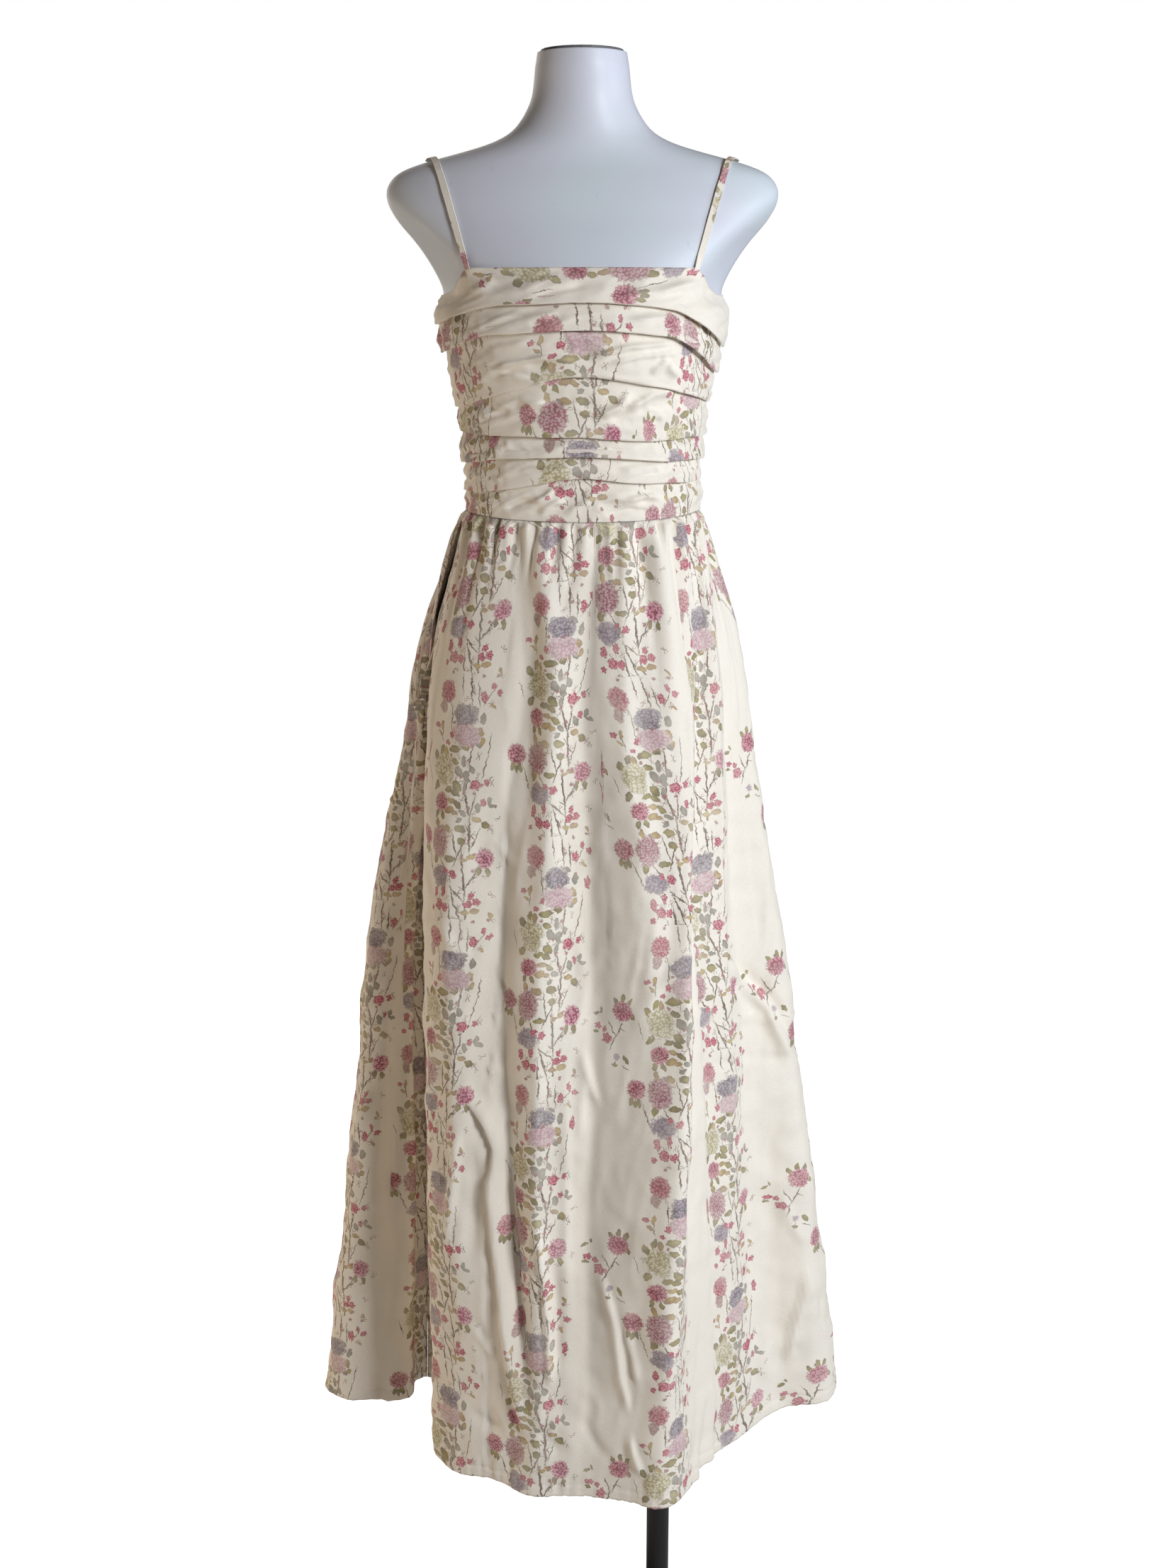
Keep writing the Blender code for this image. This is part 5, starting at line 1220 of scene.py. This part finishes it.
class Print:
    """Draws the motifs of one column with shader nodes."""

    def __init__(self, graph):
        self.g = graph

    def oval(self, place, u, v, half_width, half_height):
        """Place in half-widths and half-heights from an oval's middle."""
        return self.g.vector("MULTIPLY_ADD", place, (1 / half_width, 1 / half_height, 0),
                             (-u / half_width, -v / half_height, 0))

    def ovals(self, place, rows, best=None, where=None):
        """Nearest of several ovals: its distance in radii and the place in radii."""
        for _, u, v, half_width, half_height, *_ in rows:
            local = self.oval(place, u, v, half_width, half_height)
            distance = self.g.vector("LENGTH", local)
            if best is None:
                best, where = distance, local
                continue
            nearer = self.g.math("LESS_THAN", distance, best)
            best = self.g.math("MINIMUM", distance, best)
            where = self.g.choose(nearer, where, local)
        return best, where

    def painted(self, place, rows):
        """Nearest of several ovals with its own two colours."""
        best, where = self.ovals(place, rows[:1])
        light, dark = srgb(*rows[0][5]), srgb(*rows[0][6])
        for row in rows[1:]:
            local = self.oval(place, *row[1:5])
            distance = self.g.vector("LENGTH", local)
            nearer = self.g.math("LESS_THAN", distance, best)
            best = self.g.math("MINIMUM", distance, best)
            where = self.g.choose(nearer, where, local)
            light = self.g.mix(nearer, light, srgb(*row[5]))
            dark = self.g.mix(nearer, dark, srgb(*row[6]))
        return best, where, light, dark

    def leaves(self, place, rows, best=None):
        """Distance to the nearest pointed leaf: below 1 inside it."""
        g = self.g
        for u, v, length, width, turn in rows:
            scale_x, scale_y = 0.883 / (length / 2), (1 - 0.47) / (width / 2)
            local = g.node("ShaderNodeVectorRotate", place, rotation_type="Z_AXIS")
            local.inputs["Center"].default_value = (u, v, 0)
            local.inputs["Angle"].default_value = -math.radians(turn)
            local = g.vector("MULTIPLY_ADD", local.outputs[0], (scale_x, scale_y, 0),
                             (-u * scale_x, -v * scale_y, 0))
            local = g.vector("ADD", g.vector("ABSOLUTE", local), (0, 0.47, 0))
            distance = g.vector("LENGTH", local)
            best = distance if best is None else g.math("MINIMUM", distance, best)
        return best

    def stems(self, place, upright, rows, best=None):
        """Distance to the nearest tapering stem stroke: below 1 inside it."""
        g = self.g
        for u0, v0, u1, v1, width in rows:
            slope = (u1 - u0) / (v1 - v0)
            half = abs(v1 - v0) / 2
            skewed = g.vector("MULTIPLY_ADD", upright, (-slope, 0, 0), place)
            u, v = u0 - slope * v0, (v0 + v1) / 2
            thick = 0.92 * width * math.hypot(1, slope)
            distance = g.vector("LENGTH", self.oval(skewed, u, v, thick, half))
            best = distance if best is None else g.math("MINIMUM", distance, best)
        return best


def floral_group():
    """The print as a node group: flat cloth coordinates in metres in, colour and ink out."""
    tree = bpy.data.node_groups.new("floral_print", "ShaderNodeTree")
    tree.interface.new_socket("Cloth", in_out="INPUT", socket_type="NodeSocketVector")
    tree.interface.new_socket("Colour", in_out="OUTPUT", socket_type="NodeSocketColor")
    tree.interface.new_socket("Ink", in_out="OUTPUT", socket_type="NodeSocketFloat")
    g = Graph(tree)
    p = Print(g)
    source = tree.nodes.new("NodeGroupInput").outputs[0]
    wander = g.noise(source, 170, 2.0).outputs["Color"]
    drawn = g.vector("MULTIPLY_ADD", g.vector("SUBTRACT", wander, (0.5, 0.5, 0.5)), (4.2, 4.2, 0),
                     g.vector("MULTIPLY", source, (1000, 1000, 0)))
    across, down, _ = g.split(drawn)

    def column(shift):
        """Place in millimetres within the column whose window is moved by shift, and its parity."""
        index = g.math("FLOOR", g.math("MULTIPLY_ADD", across, 0.001 / COLUMN_PITCH,
                                       0.5 - shift / COLUMN_PITCH))
        odd = g.math("FLOORED_MODULO", index, 2.0)
        u = g.math("MULTIPLY_ADD", index, -1000 * COLUMN_PITCH, across)
        v = g.math("SUBTRACT", down, 1000 * (ROW_DATUM + WINDOW_START))
        v = g.math("MULTIPLY_ADD", odd, 1000 * ROW_SHIFT, v)
        v = g.math("ADD", g.math("FLOORED_MODULO", v, 1000 * REPEAT), 1000 * WINDOW_START)
        return g.join(u, v), v, odd

    def only(place, parity):
        """Place moved out of reach in the columns where the parity is not 0."""
        return g.vector("ADD", place, g.vector("MULTIPLY", g.join(parity, parity), (AWAY, AWAY, 0)))

    place, v, odd = column(0.0)
    left_place, left_v, left_odd = column(-0.062)
    lone_place = only(left_place, left_odd)
    paired_place = only(place, g.math("SUBTRACT", 1.0, odd))
    upright, left_upright = g.join(v, 0.0), g.join(left_v, 0.0)

    fine = g.noise(source, 620, 2.0).outputs[0]
    soft = g.noise(source, 90, 2.0).outputs[0]
    broad = g.noise(source, 34, 1.0).outputs[0]
    colour, ink = INK_STEM, None

    def lay(share, paint, strength=1.0):
        """Paint over what is there."""
        nonlocal colour, ink
        share = g.math("MULTIPLY", share, strength)
        colour = g.mix(share, colour, paint)
        ink = share if ink is None else g.math("MAXIMUM", ink, share)

    def inside(distance, low, high):
        """1 inside a shape, 0 outside, soft between low and high."""
        return g.math("SUBTRACT", 1.0, g.step(distance, low, high))

    stem = p.stems(place, upright, STEMS)
    stem = p.stems(left_place, left_upright, LEFT_STEMS[:1], stem)
    moved = g.vector("MULTIPLY", g.join(left_odd, 0.0), (AWAY, 0, 0))
    lone_upright = g.vector("ADD", left_upright, moved)
    stem = p.stems(lone_place, lone_upright, LEFT_STEMS[1:], stem)
    lay(inside(g.math("MULTIPLY_ADD", fine, 0.9, stem), 1.0, 1.75),
        g.mix(fine, INK_STEM, srgb(128, 106, 88)), 0.95)

    # prickly short twigs, one to a cell, beside the stems
    cell = g.cells(place, 1 / 13.0, random=0.9)
    luck = g.split(cell.outputs["Color"])
    at = g.split(cell.outputs["Position"])
    beside = g.vector("SUBTRACT", place, cell.outputs["Position"])
    twig = g.node("ShaderNodeVectorRotate", beside, rotation_type="Z_AXIS")
    g.feed(twig.inputs["Angle"], g.math("MULTIPLY_ADD", luck[0], 2.4, -1.2))
    stroke = g.split(twig.outputs[0])
    fork = g.math("PINGPONG", stroke[1], 2.6)
    aside = g.math("ABSOLUTE", stroke[0])
    thin = g.math("ABSOLUTE", g.math("SUBTRACT", aside, g.math("MULTIPLY", fork, 0.62)))
    short = inside(g.math("ABSOLUTE", stroke[1]), 3.2, 4.2)
    off = g.math("DIVIDE", g.math("ABSOLUTE", g.math("SUBTRACT", at[0], 9.0)), 42.0)
    there = g.math("GREATER_THAN", g.math("SUBTRACT", 0.86, off), luck[2])
    twigs = g.math("MULTIPLY", g.math("MULTIPLY", inside(thin, 0.18, 0.55), short), there)
    lay(twigs, g.mix(luck[1], srgb(132, 112, 92), srgb(160, 96, 96)), 0.75)

    # leaves in three inks
    for rows, light, dark in ((SAGE_LEAVES, INK_SAGE, INK_SAGE_DARK),
                              (OCHRE_LEAVES, INK_OCHRE, INK_OCHRE_DARK),
                              (OLIVE_LEAVES, INK_OLIVE, INK_OLIVE_DARK)):
        distance = p.leaves(place, rows)
        if rows is OLIVE_LEAVES:
            distance = p.leaves(left_place, LEFT_LEAVES, distance)
            distance = p.leaves(lone_place, LONE_LEAVES, distance)
        shade = g.math("ADD", g.math("MULTIPLY", g.step(soft, 0.38, 0.62), 0.6),
                       g.math("MULTIPLY", g.step(distance, 0.55, 0.95), 0.4))
        leaf = inside(g.math("MULTIPLY_ADD", fine, 0.10, distance), 1.0, 1.10)
        lay(leaf, g.mix(shade, light, dark), 0.90)

    petals = g.cells(source, 1 / 0.0026, random=0.95)
    petal = g.math("ADD", petals.outputs["Distance"], g.math("MULTIPLY_ADD", fine, 0.5, -0.25))

    def petalled(best, where, light, dark):
        """A ragged head of many small petals, darker in the middle and between them."""
        lx, ly, _ = g.split(where)
        angle = g.math("ARCTAN2", lx, ly)
        ragged = g.math("MULTIPLY_ADD", g.math("PINGPONG", angle, 0.17), 0.75, best)
        ragged = g.math("ADD", ragged, g.math("MULTIPLY_ADD", petals.outputs["Distance"], 0.16, -0.06))
        ragged = g.math("ADD", ragged, g.math("MULTIPLY_ADD", fine, 0.30, -0.15))
        head = inside(ragged, 0.92, 1.08)
        middle = inside(best, 0.0, 0.95)
        shade = g.math("ADD", g.step(petal, 0.22, 0.62), g.math("MULTIPLY", middle, 0.42))
        shade = g.math("SUBTRACT", shade, g.math("MULTIPLY", g.step(soft, 0.40, 0.70), 0.30))
        lay(head, g.mix(g.math("MINIMUM", g.math("MAXIMUM", shade, 0.0), 1.0), light, dark), 0.95)

    petalled(*p.painted(place, PETAL_HEADS))
    best, where, light, dark = p.painted(left_place, (LEFT_HEAD,))
    lone_best, lone_where, lone_light, lone_dark = p.painted(lone_place, (LONE_HEAD,))
    nearer = g.math("LESS_THAN", lone_best, best)
    petalled(g.math("MINIMUM", lone_best, best), g.choose(nearer, where, lone_where),
             g.mix(nearer, light, lone_light), g.mix(nearer, dark, lone_dark))

    # floret heads
    best, where, light, dark = p.painted(place, FLORET_HEADS)
    rough = g.math("ADD", best, g.math("MULTIPLY_ADD", soft, 0.75, -0.38))
    rough = g.math("ADD", rough, g.math("MULTIPLY_ADD", fine, 0.40, -0.20))
    floret = g.cells(source, 1 / 0.0030, random=0.9)
    rough = g.math("MULTIPLY_ADD", floret.outputs["Distance"], 0.20, rough)
    shade = g.step(g.math("MULTIPLY_ADD", fine, 0.4, floret.outputs["Distance"]), 0.38, 0.86)
    shade = g.math("MULTIPLY", shade, 0.8)
    shade = g.math("ADD", shade, g.math("MULTIPLY", g.step(soft, 0.35, 0.65), 0.40))
    lay(inside(rough, 0.90, 1.10), g.mix(g.math("MINIMUM", shade, 1.0), light, dark), 0.92)

    # roses and buds
    best, where = p.ovals(place, ROSES)
    best, where = p.ovals(lone_place, LONE_ROSES, best, where)
    best, where = p.ovals(paired_place, (SINGLE_ROSE,), best, where)
    rx, ry, _ = g.split(where)
    angle = g.math("ARCTAN2", ry, rx)
    edge = g.math("MULTIPLY_ADD", g.math("PINGPONG", angle, 0.63), 0.42, best)
    edge = g.math("ADD", edge, g.math("MULTIPLY_ADD", fine, 0.60, -0.30))
    edge = g.math("ADD", edge, g.math("MULTIPLY_ADD", soft, 0.50, -0.25))
    whorl = g.math("PINGPONG", g.math("MULTIPLY_ADD", angle, 0.13, best), 0.26)
    whorl = g.math("ADD", g.math("MULTIPLY", whorl, 2.6), g.math("MULTIPLY_ADD", fine, 1.4, -0.7))
    lay(inside(edge, 0.92, 1.12), g.mix(g.step(whorl, 0.10, 0.60), INK_ROSE_DARK, INK_ROSE_LIGHT), 0.95)
    best, where = p.ovals(lone_place, LILAC_STARS)
    lay(inside(g.math("MULTIPLY_ADD", fine, 0.9, best), 0.95, 1.45), INK_LILAC, 0.75)

    # small loose buds, mostly near the stems
    shift = (40.0, 10.0, 0)
    cell = g.cells(g.vector("ADD", place, shift), 1 / 17.0, random=0.95)
    at = g.split(g.vector("SUBTRACT", cell.outputs["Position"], shift))
    luck = g.split(cell.outputs["Color"])
    off = g.math("DIVIDE", g.math("ABSOLUTE", g.math("SUBTRACT", at[0], 4.0)), 52.0)
    there = g.math("GREATER_THAN", g.math("SUBTRACT", 0.62, off), luck[1])
    bud = inside(g.math("MULTIPLY_ADD", fine, 0.16, cell.outputs["Distance"]), 0.15, 0.22)
    lay(g.math("MULTIPLY", bud, there), g.mix(luck[0], INK_ROSE_DARK, srgb(176, 120, 110)), 0.8)

    # watercolour unevenness
    wash = g.math("MULTIPLY_ADD", broad, 0.55, 0.62)
    ink = g.math("MULTIPLY", ink, g.math("MINIMUM", wash, 1.0))
    end = tree.nodes.new("NodeGroupOutput")
    g.feed(end.inputs[0], colour)
    g.feed(end.inputs[1], ink)
    return tree


# ---------------------------------------------------------------- materials
def material(name):
    """A new node material: its graph, its Principled shader and itself."""
    made = bpy.data.materials.new(name)
    made.use_nodes = True
    return Graph(made.node_tree), made.node_tree.nodes["Principled BSDF"], made


IVORY = srgb(246, 241, 231)
IVORY_DEEP = srgb(239, 232, 217)


def cloth_material(name, floral, strength):
    """Printed plain-weave cotton; strength is how much of the print comes through."""
    g, shader, made = material(name)
    flat = g.node("ShaderNodeUVMap", uv_map="Cloth").outputs[0]
    printed = g.node("ShaderNodeGroup")
    printed.node_tree = floral
    g.feed(printed.inputs[0], flat)
    slub_u = g.noise(g.vector("MULTIPLY", flat, (260, 2200, 0)), 1.0, 2.0).outputs[0]
    slub_v = g.noise(g.vector("MULTIPLY", flat, (2400, 240, 0)), 1.0, 2.0).outputs[0]
    thread = g.math("ADD", slub_u, slub_v)
    ground = g.mix(g.step(thread, 0.6, 1.4), IVORY_DEEP, IVORY)
    share = g.math("MULTIPLY", printed.outputs["Ink"], strength)
    g.feed(shader.inputs["Base Color"], g.mix(share, ground, printed.outputs["Colour"]))
    shader.inputs["Roughness"].default_value = 0.86
    shader.inputs["Sheen Weight"].default_value = 0.12
    shader.inputs["Sheen Roughness"].default_value = 0.5
    shader.inputs["Specular IOR Level"].default_value = 0.25
    bump = g.node("ShaderNodeBump")
    bump.inputs["Strength"].default_value = 0.35
    bump.inputs["Distance"].default_value = 0.0004
    g.feed(bump.inputs["Height"], thread)
    g.feed(shader.inputs["Normal"], bump.outputs[0])
    return made


def form_material():
    """Smooth satin plastic of the form, bluish white with faint lavender clouds and scuffs."""
    g, shader, made = material("form_gloss")
    spot = g.node("ShaderNodeTexCoord").outputs["Object"]
    cloud = g.noise(spot, 7.0, 3.0, kind="3D").outputs[0]
    scuff = g.noise(g.vector("MULTIPLY", spot, (60, 60, 18)), 1.0, 4.0, 0.6, kind="3D").outputs[0]
    marks = g.step(scuff, 0.66, 0.78)
    body = g.mix(g.step(cloud, 0.35, 0.7), srgb(214, 218, 230), srgb(212, 223, 231))
    g.feed(shader.inputs["Base Color"],
           g.mix(g.math("MULTIPLY", marks, 0.30), body, srgb(172, 164, 190)))
    g.feed(shader.inputs["Roughness"], g.math("MULTIPLY_ADD", scuff, 0.16, 0.40))
    shader.inputs["Coat Weight"].default_value = 0.06
    shader.inputs["Coat Roughness"].default_value = 0.30
    bump = g.node("ShaderNodeBump")
    bump.inputs["Strength"].default_value = 0.10
    bump.inputs["Distance"].default_value = 0.002
    g.feed(bump.inputs["Height"], g.noise(spot, 22.0, 2.0, kind="3D").outputs[0])
    g.feed(shader.inputs["Normal"], bump.outputs[0])
    return made


def cap_material():
    """Matt grey moulded cap in the neck."""
    g, shader, made = material("cap_matt")
    spot = g.node("ShaderNodeTexCoord").outputs["Object"]
    grain = g.noise(spot, 900, 2.0, kind="3D").outputs[0]
    g.feed(shader.inputs["Base Color"], g.mix(grain, srgb(92, 92, 96), srgb(116, 116, 120)))
    g.feed(shader.inputs["Roughness"], g.math("MULTIPLY_ADD", grain, 0.2, 0.45))
    return made


def steel_material():
    """Black powder-coated steel of the pole, collars and base."""
    g, shader, made = material("stand_black")
    spot = g.node("ShaderNodeTexCoord").outputs["Object"]
    grain = g.noise(spot, 1400, 2.0, kind="3D").outputs[0]
    wear = g.noise(spot, 30, 3.0, kind="3D").outputs[0]
    g.feed(shader.inputs["Base Color"], g.mix(wear, srgb(16, 16, 18), srgb(28, 28, 31)))
    g.feed(shader.inputs["Roughness"], g.math("MULTIPLY_ADD", wear, 0.22, 0.24))
    bump = g.node("ShaderNodeBump")
    bump.inputs["Strength"].default_value = 0.12
    bump.inputs["Distance"].default_value = 0.0003
    g.feed(bump.inputs["Height"], grain)
    g.feed(shader.inputs["Normal"], bump.outputs[0])
    return made


# ---------------------------------------------------------------- the studio
def studio():
    """Pale floor, soft light and the camera."""
    scene = bpy.context.scene
    camera = bpy.data.cameras.new("camera")
    camera.lens, camera.sensor_width = CAMERA_LENS, SENSOR
    eye = bpy.data.objects.new("camera", camera)
    eye.location = CAMERA_AT
    eye.rotation_euler = (math.pi / 2 - CAMERA_PITCH, 0, 0)
    scene.collection.objects.link(eye)
    scene.camera = eye
    scene.view_settings.view_transform = "Standard"

    world = bpy.data.worlds.new("studio")
    world.use_nodes = True
    scene.world = world
    g = Graph(world.node_tree)
    backdrop, output = world.node_tree.nodes["Background"], world.node_tree.nodes["World Output"]
    backdrop.inputs["Color"].default_value = (1.0, 0.74, 0.53, 1.0)
    backdrop.inputs["Strength"].default_value = 0.115
    seen = g.node("ShaderNodeBackground")
    seen.inputs["Color"].default_value = (1.0, 1.0, 1.0, 1.0)
    seen.inputs["Strength"].default_value = 1.0
    straight = g.node("ShaderNodeLightPath").outputs["Is Camera Ray"]
    both = g.node("ShaderNodeMixShader", straight, backdrop.outputs[0], seen.outputs[0])
    g.feed(output.inputs["Surface"], both.outputs[0])

    for name, at, aim, size, power, colour in (
            ("window", (2.8, -0.75, 1.9), (0.0, 0.0, 1.00), (0.8, 1.2), 24.0, (0.74, 0.86, 1.0)),
            ("room_front", (1.95, -2.35, 2.15), (0.0, 0.0, 0.95), (0.8, 0.8), 71.0, (0.93, 0.955, 1.0)),
            ("warm_left", (-2.4, 0.0, 0.45), (0.0, 0.0, 0.8), (1.2, 0.6), 20.0, (1.0, 0.86, 0.70)),
            ("back_fill", (-1.2, 2.4, 2.2), (0.0, 0.0, 1.1), (2.0, 2.0), 20.0, (1.0, 0.98, 0.95))):
        lamp = bpy.data.lights.new(name, "AREA")
        lamp.shape = "RECTANGLE"
        lamp.size, lamp.size_y = size
        lamp.energy = power
        lamp.color = colour
        holder = bpy.data.objects.new(name, lamp)
        holder.location = at
        holder.rotation_euler = (Vector(aim) - Vector(at)).to_track_quat("-Z", "Y").to_euler()
        scene.collection.objects.link(holder)

    floor = mesh_object("floor", np.array([(-6, 6, 0), (-6, -6, 0), (6, -6, 0), (6, 6, 0)], float),
                        [(0, 1, 2, 3)])
    g, shader, made = material("floor_white")
    shader.inputs["Base Color"].default_value = (0.55, 0.53, 0.50, 1.0)
    shader.inputs["Roughness"].default_value = 0.9
    shader.inputs["Emission Color"].default_value = (1.0, 1.0, 1.0, 1.0)
    g.feed(shader.inputs["Emission Strength"], g.node("ShaderNodeLightPath").outputs["Is Camera Ray"])
    floor.data.materials.append(made)


# ---------------------------------------------------------------- the whole
def dress(frame):
    """Cloth pieces over their CAD solids, which are then hidden."""
    inset = SEAM_GAP / 2
    knots = hem_lengths()
    right = knots[[row[0] for row in SKIRT_FOLDS].index("right_seam")]
    left = knots[-1]
    for name, node, start, end, columns, flat, area in (
            ("skirt_front_cloth", "skirt_front", inset, right - inset, FRONT_COLUMNS,
             (0.93, 1.07), 0.86),
            ("skirt_back_cloth", "skirt_back", right + inset, left - inset, REAR_COLUMNS,
             (1.03, 1.07), 0.94)):
        points, cloth = skirt_grid(column_lengths(start, end, columns))
        panel = cloth_sheet(name, points, cloth)
        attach(panel, "root")
        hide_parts(node)
    for name, node, maker, flat, area in (
            ("bodice_front_cloth", "bodice_front", bodice_front_grid, (0.45, 0.36), 0.152),
            ("bodice_back_cloth", "bodice_back", bodice_back_grid, (0.36, 0.22), 0.075)):
        points, cloth = maker()
        piece = cloth_sheet(name, points, cloth)
        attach(piece, "root")
        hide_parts(node)
    tree = surface_tree(frame["nodes"]["form_torso"])
    for name, node, side, cut in STRAP_CUTS:
        piece, length = strap(name, side, tree, cut)
        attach(piece, "root")
        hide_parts(node)


def main():
    """Load the frame and build the looks round it."""
    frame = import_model()
    studio()
    floral = floral_group()
    cloth_material("print_cloth_face", floral, 0.96)
    cloth_material("print_cloth_reverse", floral, 0.42)
    form_material()
    black = steel_material()
    for node, finish in (("neck_cap", cap_material()), ("form_collar", black), ("pole", black),
                         ("base_collar", black), ("base_plate", black)):
        for holder in frame["nodes"][node].material_slots:
            holder.material = finish
    dress(frame)
    form = form_body()
    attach(form, "root")
    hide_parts("form_torso")


main()
